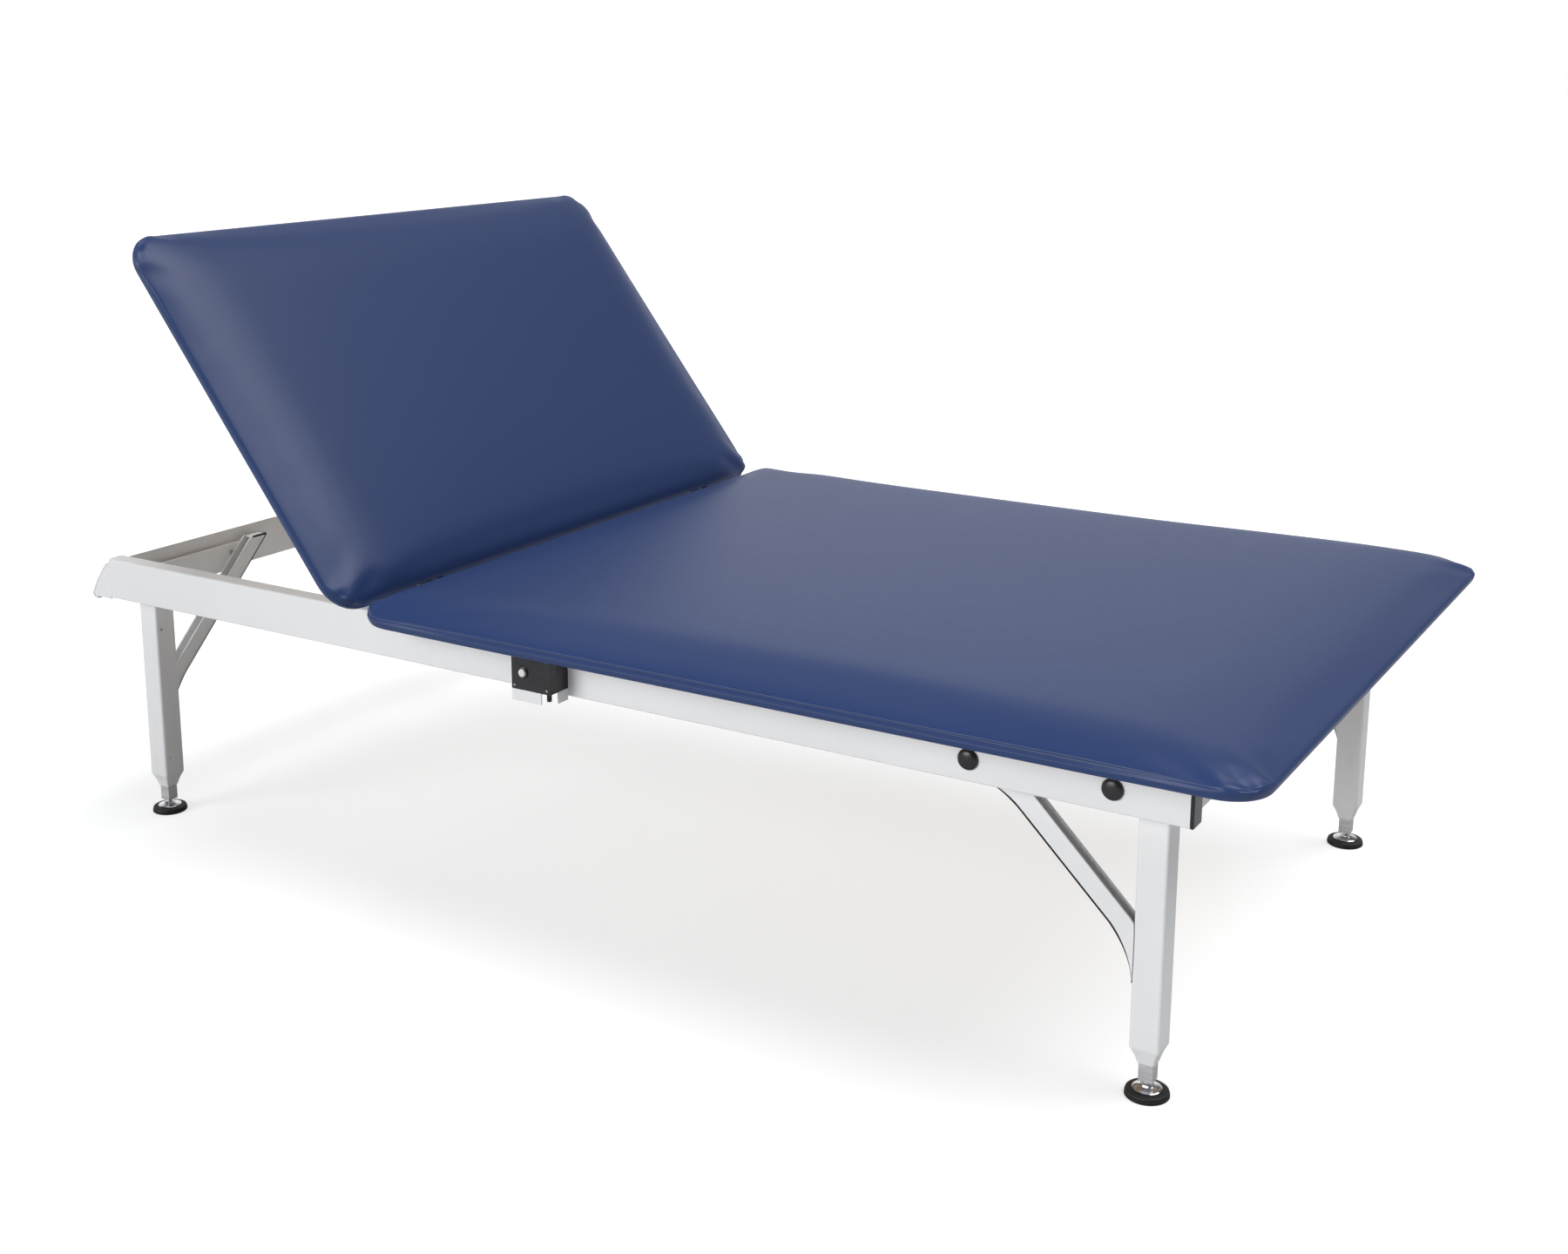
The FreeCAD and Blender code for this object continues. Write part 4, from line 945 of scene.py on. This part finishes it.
def make_leg_screws():
    """Small set screws on the inner faces of the head legs."""
    builder = Builder()
    for side, _ in SIDES:
        low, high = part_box("leg_head_" + side)
        for rise in (345 * MM, 106 * MM):
            screw_head(builder, (high.x, low.y + 10 * MM, rise), (1, 0, 0), 2.6 * MM)
    builder.piece("leg_set_screws", [], "bare_steel", "frame", sharp=40)


def make_feet():
    """Levelling feet: a chrome bell on a threaded stem, over a ribbed rubber base."""
    for end in ENDS:
        for side, _ in SIDES:
            name = "%s_%s" % (end, side)
            stem, pad = "foot_stem_" + name, "foot_pad_" + name
            centre = middle(stem)
            base = Matrix.Translation((centre.x, centre.y, 0))
            _, stem_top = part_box(stem)
            _, pad_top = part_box(pad)
            lip = pad_top.z
            builder = Builder()
            builder.turn([(18 * MM, lip - 0.6 * MM), (19.6 * MM, lip - 0.2 * MM), (20 * MM, lip + 0.8 * MM),
                          (19 * MM, lip + 1.7 * MM), (16 * MM, lip + 2.5 * MM), (12.4 * MM, lip + 3.3 * MM),
                          (10 * MM, lip + 4.2 * MM), (9.4 * MM, lip + 4.6 * MM), (4.4 * MM, lip + 4.7 * MM)],
                         base, 48)
            thread(builder, base, 5 * MM, lip + 4.4 * MM, stem_top.z, 1.25 * MM)
            hexagon(builder, base, 15 * MM, lip + 4.5 * MM, lip + 7.0 * MM)
            builder.piece(stem + "_finished", [stem], "chrome", BODY_OF[stem], sharp=32)
            builder = Builder()
            builder.turn([(24 * MM, 0), (29 * MM, 0), (30 * MM, 0.9 * MM), (30 * MM, 2.2 * MM),
                          (28.9 * MM, 2.6 * MM), (28.9 * MM, 3.2 * MM), (29.9 * MM, 3.6 * MM),
                          (29.7 * MM, 5.0 * MM), (28.5 * MM, 5.4 * MM), (28.5 * MM, 6.0 * MM),
                          (29.2 * MM, 6.4 * MM), (28.6 * MM, 8.2 * MM), (27.2 * MM, 9.2 * MM),
                          (22 * MM, lip - 0.3 * MM), (20.6 * MM, lip - 0.8 * MM),
                          (17 * MM, lip - 0.9 * MM)], base, 56)
            builder.piece(pad + "_finished", [pad], "rubber", BODY_OF[pad], sharp=32)


def make_button():
    """A white domed push button in a dark threaded ring."""
    low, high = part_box("push_button")
    centre = (low + high) / 2
    long = high.y - low.y
    out = facing((centre.x, high.y, centre.z), (0, -1, 0))
    builder = Builder()
    builder.turn([(6.4 * MM, 0), (6.4 * MM, long - 2.6 * MM), (6.1 * MM, long - 1.5 * MM),
                  (5.2 * MM, long - 0.7 * MM), (3.4 * MM, long - 0.2 * MM), (0.01 * MM, long)], out, 36)
    builder.piece("push_button_finished", ["push_button"], "white_plastic", BODY_OF["push_button"])
    low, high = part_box("button_bezel")
    long = high.y - low.y
    out = facing((centre.x, high.y, centre.z), (0, -1, 0))
    builder = Builder()
    builder.turn([(6.6 * MM, 0), (7.9 * MM, 0), (7.9 * MM, long - 2 * MM), (9.7 * MM, long - 2 * MM),
                  (10 * MM, long - 1.6 * MM), (9.8 * MM, long - 0.7 * MM), (9.0 * MM, long - 0.1 * MM),
                  (8.0 * MM, long), (7.2 * MM, long - 0.3 * MM), (6.6 * MM, long - 1.0 * MM)],
                 out, 48, True)
    builder.piece("button_bezel_finished", ["button_bezel"], "black_plastic", "frame", sharp=40)


def make_gland():
    """The lead's ribbed gland under the control box."""
    low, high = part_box("cable_gland")
    centre = (low + high) / 2
    base = Matrix.Translation((centre.x, centre.y, 0))
    radius = (high.x - low.x) / 2
    slim = 3.9 * MM
    tall = high.z - low.z
    profile = [(slim * 0.8, low.z), (slim, low.z + 0.5 * MM)]
    for step in range(4):
        height = low.z + (1.4 + 2.2 * step) * MM
        profile += [(slim - 0.7 * MM, height), (slim - 0.7 * MM, height + 0.8 * MM),
                    (slim, height + 1.0 * MM), (slim, height + 1.9 * MM)]
    profile += [(slim, low.z + tall * 0.62), (radius, low.z + tall * 0.66), (radius, high.z - 0.4 * MM),
                (radius - 0.5 * MM, high.z)]
    builder = Builder()
    builder.turn(profile, base, 32)
    builder.piece("cable_gland_finished", ["cable_gland"], "black_plastic", BODY_OF["cable_gland"])


def screw_head(builder, place, direction, radius=3 * MM):
    """A pan head with a round recess."""
    out = facing(place, direction)
    builder.turn([(radius, -0.2 * MM), (radius, 0.8 * MM), (radius * 0.8, 1.6 * MM),
                  (radius * 0.45, 1.95 * MM), (radius * 0.42, 1.0 * MM), (0.01 * MM, 0.9 * MM)], out, 24)


def make_drive_details():
    """Screws on the cases and fins on the motor."""
    screws = Builder()
    low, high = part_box("power_pack_lid")
    hangs_below = low.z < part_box("power_pack_case")[0].z
    level, way = (low.z, -1) if hangs_below else (high.z, 1)
    for x in (low.x + 9 * MM, high.x - 9 * MM):
        for y in (low.y + 9 * MM, 0, high.y - 9 * MM):
            screw_head(screws, (x, y, level), (0, 0, way))
    low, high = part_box("control_box_case")
    for x in (low.x + 6 * MM, high.x - 6 * MM):
        for z in (low.z + 6 * MM, high.z - 6 * MM):
            screw_head(screws, (x, low.y, z), (0, -1, 0), 2.0 * MM)
    screws.piece("case_screws", [], "bare_steel", "frame", sharp=40)
    low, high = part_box("actuator_motor")
    centre = (low + high) / 2
    fins = Builder()
    out = facing((centre.x, low.y, centre.z), (0, 1, 0))
    radius = (high.x - low.x) / 2
    for step in range(9):
        start = (0.16 + 0.07 * step) * (high.y - low.y)
        fins.turn([(radius - 2 * MM, start), (radius + 0.7 * MM, start + 0.5 * MM),
                   (radius + 0.7 * MM, start + 2.4 * MM), (radius - 2 * MM, start + 2.9 * MM)], out, 40)
    fins.piece("motor_fins", [], "black_plastic", BODY_OF["actuator_motor"], sharp=30)


def make_drive():
    for node, edge in (("actuator_gearcase", 2.0), ("actuator_motor", 2.0), ("actuator_outer_tube", 0.8),
                       ("actuator_rod", 0.6), ("actuator_rod_eye", 1.0), ("actuator_front_pin", 0.6),
                       ("actuator_rear_pin", 0.6), ("actuator_bracket", 0.8), ("control_box_bracket", 0.5),
                       ("control_box_case", 2.2), ("power_pack_hanger", 0.8), ("power_pack_case", 2.0),
                       ("power_pack_lid", 1.2), ("mains_inlet", 0.5)):
        refine(node, edge)
    make_button()
    make_gland()
    make_drive_details()


bpy.context.scene.view_settings.view_transform = "Standard"
make_camera()
make_studio()
make_legs()
make_frame()
make_feet()
make_drive()
make_cushions()
